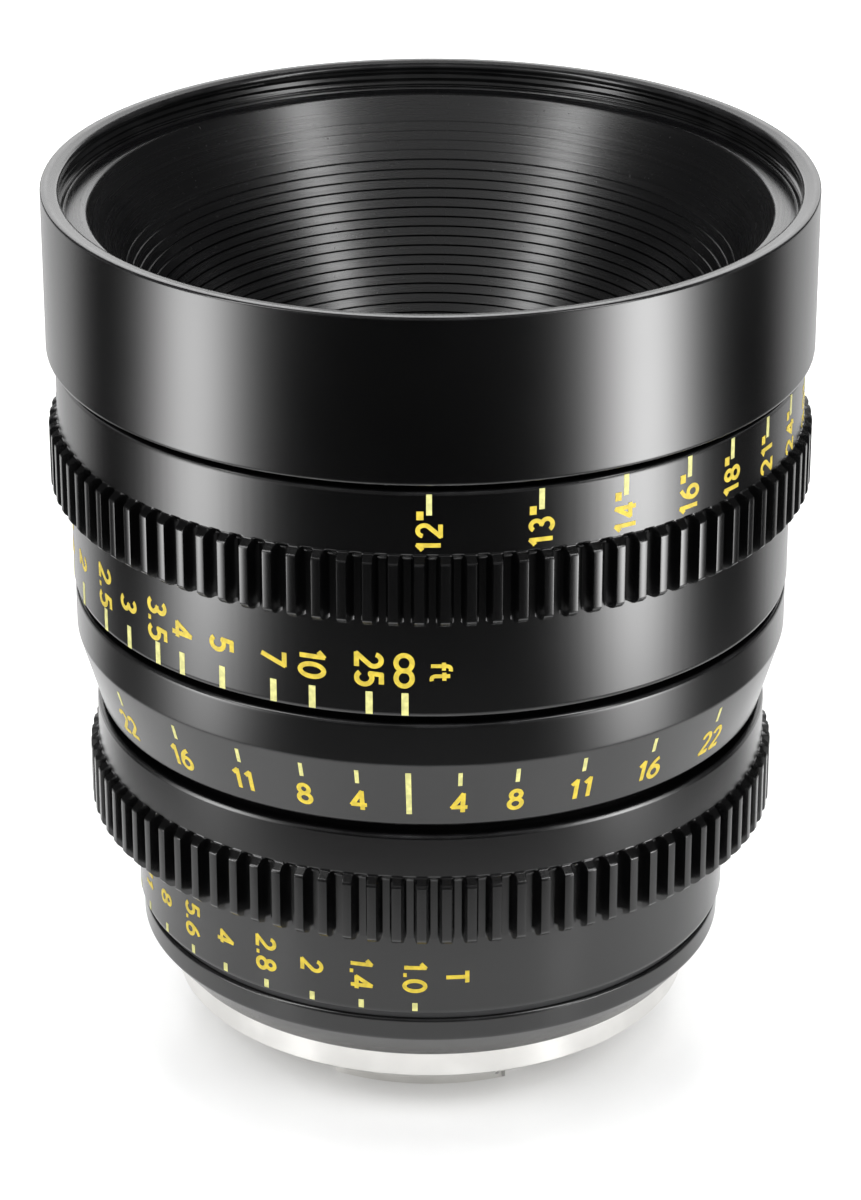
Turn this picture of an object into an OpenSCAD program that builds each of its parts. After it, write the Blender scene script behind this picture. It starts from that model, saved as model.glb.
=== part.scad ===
// Cinema prime lens standing on its bayonet, front up.
// The origin is the centre of the flange seat and +Z runs along the optical axis to the front.
// The index line faces -Y. At rest the lens is focused at infinity with its iris wide open.

/* [Front barrel] */
// Outside diameter of the front barrel, a standard clamp-on size
front_d = 80; // [79:0.5:92]
// Length of the front barrel
front_h = 17.3; // [15:0.1:24]
// Nominal diameter of the filter thread
filter_d = 77; // [74:0.5:77.5]
// Depth of the filter thread
thread_h = 2.6; // [2:0.1:4]
// Radial step from the thread to the funnel seat below it
seat_step = 0.5; // [0.3:0.1:0.8]
// Wall of the front barrel behind the thread
front_wall = 3; // [2.5:0.1:4]
// Least wall outside the thread, where the rim flares to hold it
rim_wall = 1.5; // [1:0.1:1.9]
// Thickness of the web that carries the front barrel
web_t = 2; // [1.6:0.1:3]

/* [Funnel baffle] */
// Radius of the funnel at its narrow end
throat_r = 18.8; // [15:0.1:20]
// Angle between the funnel wall and the optical axis
funnel_angle = 34; // [30:0.5:34.5]
// Wall of the funnel
funnel_wall = 1.2; // [0.8:0.1:1.4]
// Axial pitch of the light-trap grooves
groove_pitch = 0.9; // [0.7:0.05:1.5]
// Depth of the light-trap grooves
groove_cut = 0.22; // [0.1:0.02:0.4]
// Smallest width of the flat ledge around the mouth
ledge_w = 1; // [0.8:0.1:2]
// Thickness of the funnel flange
ledge_t = 1.5; // [1:0.1:2]

/* [Focus ring] */
// Length of the ring in front of the gear
focus_front_h = 6.3; // [4:0.1:10]
// Length of the ring behind the gear
focus_rear_h = 10.5; // [8:0.1:14]
// Wall of the ring behind the gear
focus_wall = 3.26; // [2.5:0.02:5]
// Turn of the ring from infinity to the near limit
focus_turn = 180; // [120:5:270]
// Forward travel of the optics over that turn
focus_travel = 1.1; // [0.6:0.1:1.6]

/* [Gears] */
// Tooth module of both follow gears
gear_module = 0.8; // [0.6:0.1:1]
// Face width of both gears
gear_w = 8; // [6:0.5:10]
// Chamfer at the tooth ends
gear_chamfer = 0.8; // [0.5:0.1:1.2]
// Height of the focus tooth roots above the ring behind them
root_lift = 0.25; // [0.2:0.05:1]
// Height of the iris tooth roots above the iris scale
iris_flare = 3.05; // [2.5:0.05:4]
// Height of the tooth tips above the band in front of them
gear_step = 0.9; // [0.5:0.05:1.5]

/* [Fixed barrel] */
// Length of the straight part of the fixed barrel
barrel_wall_h = 4.6; // [3:0.1:8]
// Length of the tapered part of the fixed barrel
barrel_cone_h = 7.9; // [6:0.1:12]
// Radius lost along the taper
cone_drop = 2.3; // [1:0.1:2.8]
// Thickness of the inner flange of the fixed barrel
barrel_flange_t = 2; // [1.5:0.1:3]
// Thickness of the inner flange of the guide sleeve
guide_flange_t = 1.5; // [1.2:0.1:2.5]
// Wall of the guide sleeve
guide_wall = 2.6; // [2.4:0.1:4]
// Wall of the focus cam sleeve
sleeve_wall = 2.5; // [2:0.1:4]
// Depth of the helical groove
helix_cut = 1.3; // [0.8:0.1:1.6]

/* [Iris ring] */
// Length of the iris scale
iris_scale_h = 10.6; // [8:0.1:13]
// Length of the collar in front of the iris gear
iris_collar_h = 4.4; // [3:0.1:8]
// Wall of the iris scale
iris_wall = 1.85; // [1.5:0.05:3]
// Turn of the ring from wide open to the smallest stop
iris_turn = 78; // [66:1:84]

/* [Rear barrel and mount] */
// Length of the rear taper
rear_taper_h = 3.6; // [3:0.1:6]
// Radius lost along the rear taper
rear_taper_in = 3; // [1:0.1:3.4]
// Length of the straight rear wall
rear_wall_h = 2.4; // [2.2:0.1:6]
// Thickness of the rear floor
floor_t = 3.4; // [3:0.1:4.5]
// Wall of the tube that carries the iris ring
tube_wall = 3.4; // [3:0.1:5]
// Diameter of the mount flange
flange_d = 56; // [53:0.5:58]
// Thickness of the mount flange
flange_t = 3.2; // [2.6:0.1:5]
// Outside diameter of the bayonet tube
bayonet_d = 37.8; // [37.2:0.1:40]
// Length of the bayonet tube behind the flange seat
bayonet_len = 5; // [4.8:0.1:7]
// Wall of the bayonet tube
bayonet_wall = 1; // [0.8:0.1:1.2]
// Radial height of the bayonet tabs
tab_out = 2; // [1:0.1:2.4]
// Thickness of the bayonet tabs
tab_t = 1.6; // [1:0.1:2.2]
// Arc of each bayonet tab
tab_arc = 52; // [30:1:80]
// Radius of the circle of mount screws
mount_screw_ring = 24.4; // [23.8:0.1:25]
// Thickness of the rear baffle
baffle_t = 1.8; // [1:0.1:1.9]
// Width of the window in the rear baffle
window_w = 22; // [18:0.5:24]
// Height of the window in the rear baffle
window_h = 17; // [13:0.5:18]

/* [Iris] */
// Number of iris blades
blade_n = 11; // [8:1:11]
// Radius of the fully open iris
aperture_r = 11.3; // [10.8:0.1:11.6]
// Radius of the smallest stop
closed_r = 0.75; // [0.5:0.05:2]
// Distance from the open edge to the blade pivots
pivot_out = 8.5; // [8.3:0.1:9]
// Width of a blade
blade_w = 5.9; // [5.4:0.1:6]
// Thickness of a blade
blade_t = 0.1; // [0.08:0.01:0.13]
// Axial pitch from one blade to the next
blade_pitch = 0.16; // [0.15:0.01:0.25]
// Distance from a blade pivot to its drive pin
blade_tail = 8; // [7.6:0.1:8.4]
// Radius of the blade pins
blade_pin_r = 0.45; // [0.35:0.05:0.5]
// Height of the iris seat above the flange seat
iris_floor = 22; // [21.8:0.1:25]

/* [Glass] */
// Radius of the front element
glass_1_r = 22.5; // [21.8:0.1:24]
// Radius of the second element
glass_2_r = 19.5; // [19:0.1:20.5]
// Radius of the third element
glass_3_r = 17.5; // [17.2:0.1:18.5]
// Radius of the rear elements
glass_rear_r = 14.5; // [14:0.1:14.7]
// Length of the spacer behind the front element
front_spacer_h = 6.8; // [4:0.1:8]
// Length of the spacer behind the second element
inner_spacer_h = 6; // [3:0.1:8]

/* [Walls and clearances] */
// Wall of the lens cell around the iris
cell_wall = 2; // [1.5:0.1:3]
// Wall of the lens cell around the front group
cell_front_wall = 3.3; // [2.8:0.1:4.5]
// Wall of the front group cell
front_cell_wall = 2; // [1.5:0.1:3]
// Wall of the lens cell nose
nose_wall = 2.4; // [1.5:0.1:2.6]
// Visible groove beside each turning ring
ring_gap = 0.9; // [0.6:0.05:1.4]
// Running clearance between pieces that move
run_gap = 0.1; // [0.08:0.01:0.1]
// Fitting clearance between pieces that do not move
fit_gap = 0.02; // [0.01:0.01:0.05]
// Room between the lens cell nose and the bayonet bore
nose_gap = 0.5; // [0.3:0.1:0.9]
// Bevel on exposed edges
bevel = 0.4; // [0.2:0.05:0.7]
// Radius of the small screws
screw_r = 0.8; // [0.6:0.1:0.9]
// Radius of the focus drive pin
drive_pin_r = 1.2; // [0.8:0.1:1.5]
// Radius of the iris drive pin
iris_pin_r = 1.25; // [0.8:0.05:1.5]

/* [Hidden] */
$fn = 96;
eps = 0.01;
big = 200;

// Axial stations of the outside, from the flange seat to the rim
z_rear = flange_t;
z_rear_wall = z_rear + rear_taper_h;
z_rear_top = z_rear_wall + rear_wall_h;
z_iris = z_rear_top + ring_gap;
z_iris_gear = z_iris + iris_scale_h;
z_collar = z_iris_gear + gear_w;
z_iris_top = z_collar + iris_collar_h;
z_barrel = z_iris_top + ring_gap;
z_barrel_wall = z_barrel + barrel_cone_h;
z_barrel_top = z_barrel_wall + barrel_wall_h;
z_focus = z_barrel_top + ring_gap;
z_focus_gear = z_focus + focus_rear_h;
z_focus_front = z_focus_gear + gear_w;
z_focus_top = z_focus_front + focus_front_h;
z_front = z_focus_top + ring_gap;
z_rim = z_front + front_h;
washer_t = ring_gap - run_gap;

// Iris blades: the swing that closes the iris and the two ends of the drive pin's path
pivot_r = aperture_r + pivot_out;
blade_out_r = aperture_r + blade_w;
blade_swing = 2 * asin((aperture_r - closed_r) / (2 * pivot_r));
tail_r = blade_out_r + blade_pin_r + 0.55;
tail_az = -acos((pow(pivot_r, 2) + pow(tail_r, 2) - pow(blade_tail, 2)) / (2 * pivot_r * tail_r));
tail_pos = tail_r * [cos(tail_az), sin(tail_az)];
pivot_pos = [pivot_r, 0];

// Turns a flat point about the origin
function turned(p, a) = [p[0] * cos(a) - p[1] * sin(a), p[0] * sin(a) + p[1] * cos(a)];
// Drive pin of the first blade after a share of the iris turn
function tail_at(share) = pivot_pos + turned(tail_pos - pivot_pos, blade_swing * share);
// The same point as seen by the turning cam ring
function slot_at(share) = turned(tail_at(share), -iris_turn * share);

// Radii around the iris, from the blades outward
slot_gap = 0.1;
slot_hw = blade_pin_r + slot_gap;
cam_rim = 1.5;
cam_r = norm(tail_at(1)) + slot_hw + cam_rim;
cam_in_r = tail_r - slot_hw - 1.2;
skirt_wall = 1.5;
cell_bore = cam_r + run_gap;
cell_iris_r = cell_bore + cell_wall;
tube_bore = cell_iris_r + run_gap;
tube_r = tube_bore + tube_wall;
iris_bore = tube_r + run_gap;
iris_scale_r = iris_bore + iris_wall;
iris_teeth = ceil(2 * (iris_scale_r + iris_flare) / gear_module + 2.5);
iris_root_r = gear_module * (iris_teeth - 2.5) / 2;
iris_tip_r = gear_module * (iris_teeth + 2) / 2;
collar_r = iris_tip_r - gear_step;
rear_r = iris_scale_r - bevel;
relief_r = iris_root_r - 2;

// Radii of the thread and of the rim around it
thread_cut = 0.4;
filter_r = filter_d / 2 - thread_cut;
front_rim_r = max(front_d / 2, filter_r + rim_wall);

// Radii around the front group, from the glass outward. The focus gear is flush with the rim.
retainer_r = glass_1_r + 1.5;
front_cell_r = max(retainer_r + front_cell_wall, cell_bore + 1.5);
cell_r = front_cell_r + fit_gap + cell_front_wall;
guide_bore = cell_r + run_gap;
guide_r = guide_bore + guide_wall;
sleeve_bore = guide_r + run_gap;
sleeve_r = sleeve_bore + sleeve_wall;
focus_bore = sleeve_r + fit_gap;
focus_rear_r = focus_bore + focus_wall;
focus_teeth = max(ceil(2 * (focus_rear_r + root_lift) / gear_module + 2.5),
    round(2 * front_rim_r / gear_module) - 2);
focus_root_r = gear_module * (focus_teeth - 2.5) / 2;
focus_tip_r = gear_module * (focus_teeth + 2) / 2;
focus_front_r = focus_tip_r - gear_step;
barrel_r = focus_rear_r - 0.1;

// Heights inside the iris, from the seat upward
iris_pin_z = iris_floor + focus_travel + iris_pin_r + 0.3;
cam_z = iris_pin_z + iris_pin_r + 0.3;
cam_t = 1.2;
blade_gap = 0.25;
blade_z = cam_z + cam_t + blade_gap;
plate_z = blade_z + (blade_n - 1) * blade_pitch + blade_t + blade_gap;
plate_t = 1.5;
iris_pin_az = 90;

// Heights of the front group, from the iris plate upward
group_z = plate_z + plate_t;
group_web_t = 2.2;
glass_3_t = 3.5;
glass_2_t = 3.6;
glass_1_t = 4.2;
glass_3_z = group_z + group_web_t;
inner_spacer_z = glass_3_z + glass_3_t;
glass_2_z = inner_spacer_z + inner_spacer_h;
front_spacer_z = glass_2_z + glass_2_t;
glass_1_z = front_spacer_z + front_spacer_h;
retainer_z = glass_1_z + glass_1_t;
retainer_t = 1.8;
group_top = retainer_z + retainer_t + 0.5;
group_flange_t = 1.8;
cell_top = group_top - group_flange_t;

// Surface curves of the glass, a front and a rear one for each element
curve_1 = 70;
hollow_1 = 26;
curve_2 = 90;
hollow_2 = 28;
curve_3 = 38;
back_3 = 60;
curve_4 = 32;
cement_curve = 40;
cement_gap = 0.5;
curve_6 = 45;
hollow_9 = 50;
back_9 = 60;
clear_in = 1.5;
hollow_in = 3.5;

// Heights of the rear group, from the iris seat downward
iris_web_t = 1.5;
glass_4_t = 3.2;
glass_5_t = 3.7;
glass_6_t = 1.8;
glass_7_t = 3;
glass_8_t = 2.2;
glass_9_t = 2.4;
rear_spacer_t = 1.9;
last_spacer_t = 1;
rear_retainer_t = 1.4;
stack_z = iris_floor - iris_web_t;
glass_4_z = stack_z - glass_4_t;
glass_5_z = glass_4_z - glass_5_t;
spacer_a_z = glass_5_z - rear_spacer_t;
glass_6_z = spacer_a_z - glass_6_t;
glass_7_z = glass_6_z - glass_7_t;
spacer_b_z = glass_7_z - rear_spacer_t;
glass_8_z = spacer_b_z - glass_8_t;
spacer_c_z = glass_8_z - last_spacer_t;
glass_9_z = spacer_c_z - glass_9_t;
nose_z = glass_9_z - rear_retainer_t;
rear_bore = glass_rear_r + fit_gap;
mount_bore = bayonet_d / 2 - bayonet_wall;
nose_r = min(rear_bore + nose_wall, mount_bore - nose_gap);
rear_clear_r = glass_rear_r - 2.5;

// Mount
lip_w = 0.7;
lip_t = 0.6;
baffle_z = -bayonet_len + lip_t;
mount_screw_n = 4;
mount_shank_r = 1;
mount_head_r = 1.9;
mount_head_h = 1.1;
mount_screw_len = 2.6;
dot_r = 0.9;
dot_az = 155;

// Barrel screws and their pan heads
screw_n = 4;
head_h = 0.9;
head_r = screw_r + 0.25;
screw_len = 4;
hole_gap = 0.1;
barrel_screw_ring = min((tube_bore + tube_r) / 2, guide_bore - head_r - 0.05);
front_screw_ring = (guide_bore + guide_r) / 2;
floor_z = z_rear + floor_t;
cell_step_z = z_barrel + barrel_flange_t + guide_flange_t + head_h + 0.5;

// Focus drive
sleeve_lip_t = 1.2;
sleeve_z = z_focus + sleeve_lip_t;
groove_hw = drive_pin_r + run_gap;
drive_z = sleeve_z + 0.8 + groove_hw;
drive_end_r = sleeve_bore + helix_cut - 0.2;
drive_seat = 2;
key_w = 3;
key_h = 5;
key_depth = 1.8;

// Funnel: a cone from the throat up to the ledge, with a straight skirt where the thread leaves less room
shoulder_w = 0.6;
seat_r = filter_r - seat_step;
ledge_z = z_rim - thread_h;
throat_z = group_top + focus_travel + 0.9;
cone_mouth_r = throat_r + (ledge_z - throat_z) * tan(funnel_angle);
skirt_mouth_r = seat_r - shoulder_w - run_gap - funnel_wall;
mouth_r = cone_mouth_r > seat_r - ledge_w ? skirt_mouth_r : cone_mouth_r;
cone_h = (mouth_r - throat_r) / tan(funnel_angle);
skin = funnel_wall / cos(funnel_angle);
groove_n = floor(cone_h / groove_pitch) - 1;

black = [0.07, 0.07, 0.08];
dark = [0.16, 0.16, 0.17];
chrome = [0.8, 0.8, 0.78];
brass = [0.75, 0.6, 0.3];
steel = [0.6, 0.6, 0.62];
ptfe = [0.92, 0.92, 0.9];
glass = [0.6, 0.75, 0.8, 0.5];
red = [0.75, 0.08, 0.06];

// Plain ring between two radii and two heights
module ring(r_in, r_out, z0, z1) {
    rotate_extrude()
        polygon([[r_in, z0], [r_out, z0], [r_out, z1], [r_in, z1]]);
}

// Sector of a ring, from one azimuth over an arc
module sector(r_in, r_out, z0, z1, az, arc) {
    rotate([0, 0, az])
        rotate_extrude(angle = arc)
            polygon([[r_in, z0], [r_out, z0], [r_out, z1], [r_in, z1]]);
}

// Cylinder standing on a circle around the optical axis
module post(ring_r, az, r, z0, z1) {
    rotate([0, 0, az])
        translate([ring_r, 0, z0])
            cylinder(r = r, h = z1 - z0);
}

// Radial pin at a height and an azimuth
module spoke(az, z, r, r0, r1) {
    rotate([0, 0, az])
        translate([r0, 0, z])
            rotate([0, 90, 0])
                cylinder(r = r, h = r1 - r0);
}

// One tooth of a follow gear: a trapezoid outline cut by a side profile with chamfered ends.
// Its foot sinks into the ring and its front end runs out on the band before it.
module tooth(n, z0) {
    root = gear_module * (n - 2.5) / 2;
    pitch = gear_module * n / 2;
    tip = gear_module * (n + 2) / 2;
    half = gear_module * PI / 2;
    foot = 0.05;
    over = 0.1;
    top = z0 + gear_w;
    intersection() {
        translate([0, 0, z0 - 1])
            linear_extrude(gear_w + 3)
                polygon([[root - 0.6, -0.74 * half], [root, -0.72 * half], [pitch, -0.48 * half],
                    [tip, -0.27 * half], [tip, 0.27 * half], [pitch, 0.48 * half],
                    [root, 0.72 * half], [root - 0.6, 0.74 * half]]);
        rotate([90, 0, 0])
            linear_extrude(4 * half, center = true)
                polygon([[root - 1, z0 + foot], [tip - gear_chamfer, z0 + foot],
                    [tip + over, z0 + foot + gear_chamfer + over], [tip + over, top - gear_chamfer - over],
                    [tip - gear_chamfer - 0.4, top + 0.4], [root - 1, top + 0.4]]);
    }
}

// Row of teeth around a ring
module teeth(n, z0) {
    for (i = [0:n - 1])
        rotate([0, 0, i * 360 / n])
            tooth(n, z0);
}

// Spherical cap or hollow on a flat rim: positive bulges, negative is hollow
module dome(curve, clear) {
    r = abs(curve);
    d = sqrt(r * r - clear * clear);
    intersection() {
        translate([0, 0, -d])
            sphere(r = r);
        translate([0, 0, -0.3])
            cylinder(r = clear, h = r);
    }
}

// Glass element with flat rims: front and rear are [curve, clear radius]
module element(re, t, z, front, rear) {
    translate([0, 0, z])
        difference() {
            union() {
                cylinder(r = re, h = t);
                if (front[0] > 0)
                    translate([0, 0, t])
                        dome(front[0], front[1]);
                if (rear[0] > 0)
                    mirror([0, 0, 1])
                        dome(rear[0], rear[1]);
            }
            if (front[0] < 0)
                translate([0, 0, t])
                    mirror([0, 0, 1])
                        dome(front[0], front[1]);
            if (rear[0] < 0)
                dome(rear[0], rear[1]);
        }
}

// Mount flange with bayonet tube, three tabs, screw holes and a lock pin hole
module bayonet_mount() {
    color(chrome)
        difference() {
            union() {
                rotate_extrude()
                    polygon([[mount_bore, 0], [flange_d / 2 - bevel, 0], [flange_d / 2, bevel],
                        [flange_d / 2, z_rear], [mount_bore, z_rear]]);
                rotate_extrude()
                    polygon([[mount_bore, eps], [mount_bore, baffle_z], [mount_bore - lip_w, baffle_z],
                        [mount_bore - lip_w, -bayonet_len], [bayonet_d / 2, -bayonet_len],
                        [bayonet_d / 2, eps]]);
                for (i = [0:2])
                    sector(bayonet_d / 2 - bayonet_wall / 2, bayonet_d / 2 + tab_out,
                        -bayonet_len, -bayonet_len + tab_t, i * 120 - 90 - tab_arc / 2, tab_arc);
            }
            for (i = [0:mount_screw_n - 1])
                rotate([0, 0, 45 + i * 360 / mount_screw_n])
                    translate([mount_screw_ring, 0, 0]) {
                        cylinder(r = mount_shank_r + hole_gap, h = big, center = true);
                        translate([0, 0, -eps])
                            cylinder(r1 = mount_head_r + fit_gap, r2 = mount_shank_r + hole_gap,
                                h = mount_head_h + eps);
                    }
            post(mount_screw_ring, 180, 1.6, -1, flange_t * 0.6);
        }
}

// Countersunk mount screws with cross recesses
module mount_screws() {
    color(steel)
        for (i = [0:mount_screw_n - 1])
            rotate([0, 0, 45 + i * 360 / mount_screw_n])
                translate([mount_screw_ring, 0, 0])
                    difference() {
                        union() {
                            cylinder(r1 = mount_head_r, r2 = mount_shank_r, h = mount_head_h);
                            cylinder(r = mount_shank_r, h = z_rear + mount_screw_len);
                        }
                        for (a = [0, 90])
                            rotate([0, 0, a])
                                cube([mount_head_r * 1.1, 0.5, 1.2], center = true);
                    }
}

// Light baffle with a picture-shaped window, seated on the lip of the bayonet
module rear_baffle() {
    color(black)
        difference() {
            translate([0, 0, baffle_z])
                cylinder(r = mount_bore - fit_gap, h = baffle_t);
            cube([window_w, window_h, big], center = true);
        }
}

// Coloured mounting dot let into the rear wall
module index_dot() {
    color(red)
        spoke(dot_az, z_rear_wall + rear_wall_h / 2, dot_r, rear_r - 1.2, rear_r + 0.15);
}

// Rear barrel: floor for the mount, outside wall and the tube that carries the iris ring
module rear_barrel() {
    pin_arc = asin((iris_pin_r + run_gap) / tube_bore);
    color(black)
        difference() {
            rotate_extrude()
                polygon([[mount_bore, z_rear], [rear_r - rear_taper_in, z_rear], [rear_r, z_rear_wall],
                    [rear_r, z_rear_top - bevel], [rear_r - bevel, z_rear_top], [tube_r, z_rear_top],
                    [tube_r, z_barrel], [tube_bore, z_barrel], [tube_bore, floor_z],
                    [mount_bore, floor_z]]);
            sector(tube_bore - 1, tube_r + 1, iris_pin_z - iris_pin_r - 0.2, iris_pin_z + iris_pin_r + 0.2,
                iris_pin_az - pin_arc, iris_turn + 2 * pin_arc);
            for (i = [0:mount_screw_n - 1])
                post(mount_screw_ring, 45 + i * 360 / mount_screw_n, mount_shank_r + fit_gap,
                    z_rear - 1, z_rear + mount_screw_len);
            for (i = [0:screw_n - 1])
                post(barrel_screw_ring, 45 + i * 360 / screw_n, screw_r + fit_gap,
                    z_barrel - screw_len, z_barrel + 1);
            spoke(dot_az, z_rear_wall + rear_wall_h / 2, dot_r + fit_gap, rear_r - 1.2, rear_r + 1);
        }
}

// Fixed barrel between the two rings, tapered to the rear
module main_barrel() {
    color(black)
        difference() {
            rotate_extrude()
                polygon([[tube_bore + run_gap, z_barrel], [barrel_r - cone_drop - bevel, z_barrel],
                    [barrel_r - cone_drop, z_barrel + bevel], [barrel_r, z_barrel_wall],
                    [barrel_r, z_barrel_top - bevel], [barrel_r - bevel, z_barrel_top],
                    [guide_r + fit_gap, z_barrel_top], [guide_r + fit_gap, z_barrel + barrel_flange_t],
                    [tube_bore + run_gap, z_barrel + barrel_flange_t]]);
            for (i = [0:screw_n - 1])
                post(barrel_screw_ring, 45 + i * 360 / screw_n, screw_r + hole_gap,
                    z_barrel - 1, z_barrel_top + 1);
        }
}

// Guide sleeve with a straight slot for the drive pin and one for the key
module guide_sleeve() {
    z0 = z_barrel + barrel_flange_t;
    color(steel)
        difference() {
            rotate_extrude()
                polygon([[tube_bore + run_gap, z0], [guide_r, z0], [guide_r, z_front],
                    [guide_bore, z_front], [guide_bore, z0 + guide_flange_t],
                    [tube_bore + run_gap, z0 + guide_flange_t]]);
            translate([guide_bore - 1, -groove_hw, drive_z - drive_pin_r - 0.3])
                cube([guide_wall + 2, 2 * groove_hw, 2 * drive_pin_r + focus_travel + 0.6]);
            translate([-guide_r - 1, -key_w / 2 - run_gap, drive_z - key_h / 2 - 0.3])
                cube([guide_wall + 2, key_w + 2 * run_gap, key_h + focus_travel + 0.6]);
            for (i = [0:screw_n - 1]) {
                post(barrel_screw_ring, 45 + i * 360 / screw_n, screw_r + hole_gap,
                    z0 - 1, z0 + guide_flange_t + 1);
                post(front_screw_ring, 45 + i * 360 / screw_n, screw_r + fit_gap,
                    z_front - screw_len, z_front + 1);
            }
        }
}

// Pan-head screw on a circle, head seat at z, pointing to the rear
module pan_screw(ring_r, az, z, len) {
    rotate([0, 0, az])
        translate([ring_r, 0, z])
            difference() {
                union() {
                    cylinder(r = head_r, h = head_h);
                    translate([0, 0, -len])
                        cylinder(r = screw_r, h = len + eps);
                }
                translate([-big / 2, -0.15, head_h * 0.5])
                    cube([big, 0.3, head_h]);
            }
}

// Screws that clamp the guide sleeve and the fixed barrel to the rear barrel
module barrel_screws() {
    grip = barrel_flange_t + guide_flange_t;
    color(steel)
        for (i = [0:screw_n - 1])
            pan_screw(barrel_screw_ring, 45 + i * 360 / screw_n, z_barrel + grip, grip + screw_len - 0.3);
}

// Front barrel: rim with the filter thread, shoulder for the funnel, web for the screws.
// Where the thread or the funnel needs more room than the barrel has, its front end flares.
module front_barrel() {
    t = tan(funnel_angle);
    r = front_d / 2;
    wall_r = min(r - front_wall, seat_r - shoulder_w);
    shoulder_z = ledge_z - ledge_t;
    head_seat = z_front + web_t - head_h;
    flare = front_rim_r - r;
    meet_z = throat_z + (wall_r - run_gap - throat_r - skin) / t;
    flare_z = min(meet_z, shoulder_z - flare / t);
    outside = flare > 0 ? [[r, flare_z], [r + flare, flare_z + flare / t]] : [];
    inside = meet_z < shoulder_z ? [[wall_r + (shoulder_z - meet_z) * t, shoulder_z], [wall_r, meet_z]] :
        [[wall_r, shoulder_z]];
    color(black)
        difference() {
            rotate_extrude()
                polygon(concat(
                    [[guide_bore + run_gap, z_front], [r - bevel, z_front], [r, z_front + bevel]],
                    outside,
                    [[r + flare, z_rim - bevel], [r + flare - bevel, z_rim], [filter_r + bevel, z_rim],
                        [filter_r, z_rim - bevel], [filter_r, ledge_z], [seat_r, ledge_z],
                        [seat_r, shoulder_z]],
                    inside,
                    [[wall_r, z_front + web_t], [guide_bore + run_gap, z_front + web_t]]));
            for (i = [0:screw_n - 1]) {
                post(front_screw_ring, 45 + i * 360 / screw_n, screw_r + hole_gap, z_front - 1, z_rim);
                post(front_screw_ring, 45 + i * 360 / screw_n, head_r + hole_gap / 2, head_seat, z_rim);
            }
        }
}

// Screws that hold the front barrel on the guide sleeve
module front_screws() {
    grip = web_t - head_h;
    color(steel)
        for (i = [0:screw_n - 1])
            pan_screw(front_screw_ring, 45 + i * 360 / screw_n, z_front + grip, grip + screw_len - 0.3);
}

// Stepped light-trap funnel dropped in from the front
module front_funnel() {
    t = tan(funnel_angle);
    rim_r = seat_r - fit_gap;
    under_z = ledge_z - ledge_t;
    skirt_r = mouth_r + funnel_wall;
    under_r = throat_r + skin + (under_z - throat_z) * t;
    back = under_r > skirt_r ? [[skirt_r, under_z], [skirt_r, throat_z + (skirt_r - throat_r - skin) / t]] :
        [[under_r, under_z]];
    color(black)
        rotate_extrude()
            polygon(concat(
                [[throat_r, throat_z]],
                [for (i = [1:groove_n]) let (z = i * groove_pitch, r = throat_r + z * t)
                    each [[r - groove_cut * t, throat_z + z - groove_cut],
                        [r + groove_cut, throat_z + z], [r, throat_z + z + eps]]],
                [[mouth_r, throat_z + cone_h], [mouth_r, ledge_z], [rim_r, ledge_z], [rim_r, under_z]],
                back,
                [[throat_r + skin, throat_z]]));
}

// Iris ring: scale, integral gear and collar, relieved inside for the drive pin
module iris_ring() {
    color(black)
        difference() {
            union() {
                rotate_extrude()
                    polygon([[iris_bore, z_iris], [iris_scale_r - bevel, z_iris],
                        [iris_scale_r, z_iris + bevel], [iris_scale_r, z_iris_gear],
                        [iris_root_r, z_iris_gear], [iris_root_r, z_collar],
                        [collar_r, z_collar], [collar_r, z_iris_top - bevel],
                        [collar_r - bevel, z_iris_top], [iris_bore, z_iris_top]]);
                teeth(iris_teeth, z_iris_gear);
            }
            ring(iris_bore - 1, relief_r, z_iris_gear + 1.5, z_collar + 2);
            spoke(iris_pin_az, iris_pin_z, iris_pin_r + fit_gap, iris_bore - 1, iris_root_r - 0.6);
        }
}

// Drive pin from the iris ring to the fork of the cam ring
module iris_drive_pin() {
    color(steel)
        spoke(iris_pin_az, iris_pin_z, iris_pin_r, cam_r - skirt_wall + 0.2, iris_root_r - 0.7);
}

// Slip washers between the turning rings and the fixed barrel
module iris_washer_rear() {
    color(ptfe)
        ring(tube_r + fit_gap, rear_r - bevel, z_rear_top, z_rear_top + washer_t);
}

module iris_washer_front() {
    color(ptfe)
        ring(tube_r + fit_gap, relief_r, z_barrel - washer_t, z_barrel);
}

module focus_washer_rear() {
    color(ptfe)
        ring(guide_r + fit_gap, sleeve_r, z_barrel_top, z_barrel_top + washer_t);
}

module focus_washer_front() {
    color(ptfe)
        ring(guide_r + fit_gap, sleeve_r, z_front - washer_t, z_front);
}

// Focus ring with its integral gear and a lip that carries the cam sleeve
module focus_ring() {
    color(black)
        union() {
            rotate_extrude()
                polygon([[sleeve_bore, z_focus], [focus_rear_r - bevel, z_focus],
                    [focus_rear_r, z_focus + bevel], [focus_rear_r, z_focus_gear],
                    [focus_root_r, z_focus_gear], [focus_root_r, z_focus_front],
                    [focus_front_r, z_focus_front], [focus_front_r, z_focus_top - bevel],
                    [focus_front_r - bevel, z_focus_top], [focus_bore, z_focus_top],
                    [focus_bore, sleeve_z], [sleeve_bore, sleeve_z]]);
            teeth(focus_teeth, z_focus_gear);
        }
}

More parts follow.
